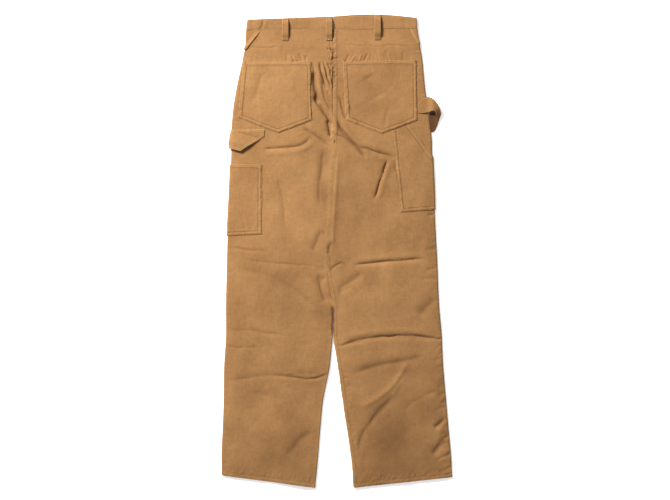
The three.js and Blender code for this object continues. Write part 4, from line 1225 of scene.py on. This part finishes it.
def make_back_loop(name, x):
    """A belt loop that stands clear of the waistband, tacked down at both ends."""
    node = f"belt_loop_back_{name}"
    low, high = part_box(node)
    half = STRAP_CLOTH / 2
    foot_high = high[2] - LOOP_STAND - half
    start, end = low[1] - LOOP_LONGER, high[1]
    side = LEFT if x < WAIST_MIDDLE[0] else RIGHT
    foot_x, foot_y = np.meshgrid(np.linspace(x - LOOP_WIDTH / 2, x + LOOP_WIDTH / 2, 5),
                                 np.linspace(start, start + LOOP_FOOT, 5))
    cloth_under = leg_point(side, *place_on_leg(side, foot_x, foot_y))[..., 2]
    foot_low = cloth_under.max() + CLOTH / 2 + SEAM_GAP + half
    ramp = LOOP_STAND * 1.2
    y = [start, start + LOOP_FOOT, start + LOOP_FOOT + ramp, end - LOOP_FOOT - ramp / 2,
         end - LOOP_FOOT / 2, end]
    top = foot_high + LOOP_STAND
    z = [foot_low, foot_low, top, top, foot_high, foot_high]
    ways = np.linspace(start, end, 44)
    heights = np.interp(ways, y, z)
    for _ in range(LOOP_SMOOTHINGS):
        heights[1:-1] = (heights[:-2] + 2 * heights[1:-1] + heights[2:]) / 4
    centre = np.stack([np.full_like(ways, x), ways, heights], axis=1)
    along = np.gradient(centre, axis=0)
    across = np.tile([1.0, 0, 0], (len(ways), 1))
    normals = unit(np.cross(across, along))
    strap(node, centre, across, normals, LOOP_WIDTH, STRAP_CLOTH)
    for off_middle in (-0.0042, 0.0042):
        sew(node, centre + across * off_middle + normals * half, normals, STRAP_PITCH)
    for at in (2, len(ways) - 4):
        tack(node, centre[at] + normals[at] * (half - 0.0001), (1, 0, 0), normals[at], 0.011, 0.0014)


for loop_name, loop_x in BACK_LOOPS.items():
    make_back_loop(loop_name, loop_x)

HAMMER_CELLS = (70, 15)
HAMMER_WIDTH = 0.03
HAMMER_LENGTH = 0.13
# The strap's two edges; heights are above the leg where over is 1 and above the floor elsewhere
HAMMER_COLUMNS = "upper_x upper_y upper_z lower_x lower_y lower_z over".split()
HAMMER_ROWS = [
    (0.182, 0.331, 0, 0.182, 0.311, 0, 1),
    (0.192, 0.340, 0.001, 0.194, 0.311, 0.001, 1),
    (0.204, 0.347, 0.003, 0.206, 0.313, 0.004, 1),
    (0.215, 0.344, 0.0112, 0.215, 0.316, 0.0136, 0),
    (0.225, 0.334, 0.0102, 0.221, 0.3155, 0.0124, 0),
    (0.232, 0.322, 0.0098, 0.2245, 0.303, 0.0074, 0),
    (0.235, 0.310, 0.0078, 0.2265, 0.290, 0.0034, 0),
    (0.231, 0.307, 0.0036, 0.2250, 0.279, 0.0014, 0),
    (0.220, 0.317, 0.0010, 0.220, 0.270, 0.0016, 0),
    (0.2073, 0.318, 0.0028, 0.2129, 0.2675, 0.0028, 0),
]


def make_hammer_loop():
    """The slack strap at the right hip: it leaves the tool pocket, bends out past the side edge and
    comes back under itself."""
    rows, cols = HAMMER_CELLS
    shares = np.linspace(0, 1, rows)
    columns = {name: np.array(col) for name, col in zip(HAMMER_COLUMNS, zip(*HAMMER_ROWS))}
    edges = []
    for name in ("upper", "lower"):
        x, y, z = (columns[f"{name}_{axis}"] for axis in "xyz")
        leg = leg_point(RIGHT, *place_on_leg(RIGHT, x, y))[:, 2] + CLOTH / 2 + SEAM_GAP + STRAP_CLOTH / 2
        z = z + np.where(columns["over"] > 0, leg, 0)
        edges.append(spline(np.stack([x, y, z], axis=1), shares))
    upper, lower = edges
    share = np.linspace(0, 1, cols)[None, :]
    points = upper[:, None, :] * (1 - share[..., None]) + lower[:, None, :] * share[..., None]
    normals = rows_from(points)
    normals *= np.sign(normals[0, 0, 2])
    edge = np.minimum(share, 1 - share) * HAMMER_WIDTH
    thickness = STRAP_CLOTH * (0.6 + 0.4 * smooth(0, 0.0015, edge)) * np.ones((rows, 1))
    lengths = np.linspace(0, HAMMER_LENGTH, rows)[:, None]
    uv = np.stack(np.broadcast_arrays(share * HAMMER_WIDTH, lengths), axis=-1)
    # Painted shade: the strap's inner face, where it curls back under itself, is coloured far darker;
    # elsewhere its edges are paler from wear
    inside = smooth(0.46, 0.58, shares)[:, None] * smooth(0.04, 0.22, share)
    wear = 0.5 * bell(edge, 0.003) * (1 - inside) - 2.4 * inside
    piece = wall("hammer_loop_right_cloth", points, normals, thickness, uv, wear)
    dress(piece, "hammer_loop_right")
    for share_in, column_in in ((0.09, 1), (0.91, -2)):
        row = upper * (1 - share_in) + lower * share_in
        up = normals[:, column_in]
        sew("hammer_loop_right", row + up * STRAP_CLOTH * 0.5, up, STRAP_PITCH)


make_hammer_loop()

# Rows of stitching on the legs and pockets


def sew_on_leg(owner, side, line, lift, steps=400):
    """A row along a line seen from above, on cloth that stands lift above the leg's middle."""
    at = along_line(line, np.linspace(0, 1, steps))
    v, s = place_on_leg(side, at[:, 0], at[:, 1])
    points, normals = patch_frame(side, v, s)
    sew(owner, points + normals * lift, normals)


def moved_in(line, distance):
    """A line moved to its left by a distance, with its corners kept."""
    line = np.array(line, float)
    ahead = np.diff(line, axis=0)
    ahead /= np.linalg.norm(ahead, axis=1)[:, None]
    left = np.stack([-ahead[:, 1], ahead[:, 0]], axis=1)
    first = line[0] + left[0] * distance
    last = line[-1] + left[-1] * distance
    corners = []
    for k in range(1, len(line) - 1):
        lean = left[k - 1] + left[k]
        corners.append(line[k] + lean * distance / (1 + left[k - 1] @ left[k]))
    return np.array([first, *corners, last])


POCKET_FACE = CLOTH + SEAM_GAP + CLOTH / 2 + 0.0005
TWO_ROWS = (ROW_IN, ROW_IN + ROW_APART)
# Rows on the patch pockets: owner, side, line and the rows' distances from it
POCKET_ROWS = [
    ("back_pocket_left", LEFT, POCKET_LEFT_SEAM, TWO_ROWS),
    ("back_pocket_right", RIGHT, POCKET_RIGHT_SEAM, TWO_ROWS),
    ("back_pocket_left", LEFT, POCKET_LEFT_TOP[::-1], MOUTH_ROWS),
    ("back_pocket_right", RIGHT, POCKET_RIGHT_TOP[::-1], MOUTH_ROWS),
    ("leg_pocket_left", LEFT, LEG_POCKET_SEAM, TWO_ROWS),
    ("leg_pocket_left", LEFT, LEG_POCKET_TOP[::-1], MOUTH_ROWS[1:]),
    ("tool_pocket_right", RIGHT, (TOOL_TOP[0], TOOL_BOTTOM[0], (0.2205, 0.094)), TWO_ROWS),
    ("tool_pocket_right", RIGHT, TOOL_TOP[:0:-1], TWO_ROWS),
]
for owner, leg, line, distances in POCKET_ROWS:
    for distance in distances:
        sew_on_leg(owner, leg, moved_in(line, distance), POCKET_FACE)


def sew_down_leg(owner, side, distance, first, last, lift, steps):
    """A row down the back of a leg at a distance from its seat seam or inseam."""
    v = np.linspace(first, last, steps)
    points, normals = leg_frame(side, v, way_to_centre(side, v, "back") - distance)
    sew(owner, points + normals * lift, normals)


def sew_across_leg(owner, side, layer, from_hem, lift, steps=200):
    v = np.full(steps, LAST - from_hem / LAST_FALL)
    s = np.linspace(0.0005, 0.999, steps) * way_to_centre(side, v, layer)
    points, normals = leg_frame(side, v, LAYER_SIGN[layer] * s)
    sew(owner, points + normals * lift, normals)


FACE = CLOTH / 2
SUNK = 0.0002  # how deep the stitches lie in the underside
# Rows beside the seat seam and the inseam: distance, first and last v, height and steps
SEAM_ROWS = [
    (ROW_IN, 0.05, 5.3, FACE + 0.0006, 700),
    (ROW_IN + ROW_APART, 0.05, 5.2, FACE + 0.0007, 700),
    (ROW_IN + 0.002, 6.1, LAST - 0.02, FACE + 0.0005, 1200),
    (ROW_IN + ROW_APART, 6.1, LAST - 0.02, FACE + 0.0006, 1200),
]
for row in SEAM_ROWS:
    sew_down_leg("back_right", RIGHT, *row)
for leg, name in SIDE_NAME.items():
    sew_across_leg(f"back_{name}", leg, "back", HEM_DEPTH, FACE + 0.0001)
    sew_across_leg(f"front_{name}", leg, "front", HEM_DEPTH, FACE - SUNK)


def sew_mouth(side, layer, last, lift):
    """Two rows along a hip pocket's mouth."""
    for distance in TWO_ROWS:
        v = np.linspace(0.02, last, 120)
        s = facing_reach(side, v, layer) + distance
        points, normals = leg_frame(side, v, LAYER_SIGN[layer] * s)
        sew(f"{layer}_{SIDE_NAME[side]}", points + normals * lift, normals)


for leg in (LEFT, RIGHT):
    sew_mouth(leg, "back", 1.2, FACE + 0.00005)
    sew_mouth(leg, "front", 3.1, FACE - SUNK)

# Bartacks: owner, side, x, y, direction, height, length and width
TACKS = [
    ("back_pocket_left", LEFT, -0.205, 0.422, (0, 1, 0), POCKET_FACE + 0.0003, 0.010, 0.0018),
    ("back_pocket_left", LEFT, -0.061, 0.422, (0, 1, 0), POCKET_FACE + 0.0003, 0.010, 0.0018),
    ("back_pocket_right", RIGHT, 0.018, 0.423, (0, 1, 0), POCKET_FACE + 0.0003, 0.010, 0.0018),
    ("back_pocket_right", RIGHT, 0.176, 0.425, (0, 1, 0), POCKET_FACE + 0.0003, 0.010, 0.0018),
    ("leg_pocket_left", LEFT, -0.1725, 0.1945, (1, 0, 0), POCKET_FACE, 0.008, 0.0009),
    ("leg_pocket_left", LEFT, -0.1725, 0.1850, (1, 0, 0), POCKET_FACE, 0.008, 0.0009),
    ("back_right", RIGHT, -0.0050, 0.2480, (0, 1, 0), FACE + 0.0009, 0.0055, 0.0046),
]
for owner, leg, x, y, along, lift, length, width in TACKS:
    points, normals = patch_frame(leg, *place_on_leg(leg, [x], [y]))
    tack(owner, points[0] + normals[0] * lift, along, normals[0], length, width)

# The fly, on the underside
FLY_WIDTH = 0.038
FLY_TOP = 0.492
FLY_END = 0.345
FLY_BEND = 0.045


def sew_fly():
    """Two rows down the fly, which bend in to the centre front at its end."""
    bend = FLY_END + FLY_BEND
    turn = np.linspace(0, math.pi / 2, 40)
    down = np.linspace(FLY_TOP, bend, 60)
    for inset in (0, ROW_APART):
        width = FLY_WIDTH - inset
        x = WAIST_MIDDLE[0] - width * np.concatenate([np.ones(60), np.cos(turn)])
        y = np.concatenate([down, bend - (FLY_BEND - inset) * np.sin(turn)])
        keep = x < WAIST_MIDDLE[0] - 0.0012
        v, s = place_on_leg(LEFT, x[keep], y[keep])
        points, normals = leg_frame(LEFT, v, -s)
        sew("front_left", points + normals * (FACE - SUNK), normals)


sew_fly()

for owner in sorted(thread_rows):
    make_thread(owner)


def make_button():
    """A shank button: a stamped brass cap with a rolled rim and a plain sunk middle."""
    low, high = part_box("waist_button")
    depth = high[2] - low[2]
    middle = ((low[0] + high[0]) / 2, (low[1] + high[1]) / 2, depth / 2)
    bpy.ops.mesh.primitive_cylinder_add(vertices=64, radius=(high[0] - low[0]) / 2, depth=depth,
                                        location=middle)
    button = bpy.context.object
    button.name = "waist_button_cap"
    bpy.ops.object.transform_apply(location=True, rotation=True, scale=True)
    bpy.ops.object.mode_set(mode="EDIT")
    bpy.ops.mesh.select_mode(type="FACE")
    bpy.ops.mesh.select_all(action="DESELECT")
    bpy.ops.object.mode_set(mode="OBJECT")
    for face in button.data.polygons:
        face.select = face.normal.z < -0.9
    bpy.ops.object.mode_set(mode="EDIT")
    bpy.ops.mesh.inset(thickness=0.0016)
    bpy.ops.transform.translate(value=(0, 0, 0.0005))
    bpy.ops.mesh.inset(thickness=0.0012)
    bpy.ops.transform.translate(value=(0, 0, -0.0003))
    bpy.ops.object.mode_set(mode="OBJECT")
    bevel = button.modifiers.new("rolled rim", "BEVEL")
    bevel.width = 0.0003
    bevel.segments = 3
    bpy.ops.object.modifier_apply(modifier=bevel.name)
    bpy.ops.object.shade_smooth_by_angle(angle=math.radians(40))
    button.data.materials.append(BRASS)
    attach(button, "root")
    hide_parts("waist_button")


make_button()
for loop_name in FRONT_LOOPS:
    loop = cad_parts[f"belt_loop_front_{loop_name}"]
    loop.data.materials.clear()
    loop.data.materials.append(CANVAS)

# Stage, light and camera
PIXEL = 0.00225
PICTURE_WIDTH = 670
LENS = 85.0
SENSOR = 36.0
FLOOR_DROP = 0.0006

bpy.ops.mesh.primitive_plane_add(size=14, location=(0, 0, -FLOOR_DROP))
floor = bpy.context.object
floor.name = "floor"
# White paper that glows a little, so that it is white in the render
paper = new_material("white paper", {"Base Color": linear("f7f7f7"), "Roughness": 0.9,
                                     "Emission Color": (1, 1, 1, 1), "Emission Strength": 0.4})[0]
floor.data.materials.append(paper)

# One soft light, up beyond the waist and to the left, that faces the middle of the garment
KEY_PLACE = (-2.0, 2.3, 2.25)
key_lamp = bpy.data.lights.new("key", "AREA")
key_lamp.size = 1.0
key_lamp.energy = 415
key = bpy.data.objects.new("key", key_lamp)
key.location = KEY_PLACE
key.rotation_euler = (math.atan2(math.hypot(KEY_PLACE[0], KEY_PLACE[1]), KEY_PLACE[2]), 0,
                      math.atan2(KEY_PLACE[0], -KEY_PLACE[1]))
bpy.context.collection.objects.link(key)

world = bpy.data.worlds.new("studio")
bpy.context.scene.world = world
world.use_nodes = True
world.node_tree.nodes["Background"].inputs["Color"].default_value = (1, 1, 1, 1)
world.node_tree.nodes["Background"].inputs["Strength"].default_value = 0.5
bpy.context.scene.view_settings.view_transform = "Standard"

camera_data = bpy.data.cameras.new("camera")
camera_data.sensor_width = SENSOR
camera_data.lens = LENS
camera = bpy.data.objects.new("camera", camera_data)
camera.location = (-0.0034, 0.0034, LENS / SENSOR * PICTURE_WIDTH * PIXEL)
bpy.context.collection.objects.link(camera)
bpy.context.scene.camera = camera
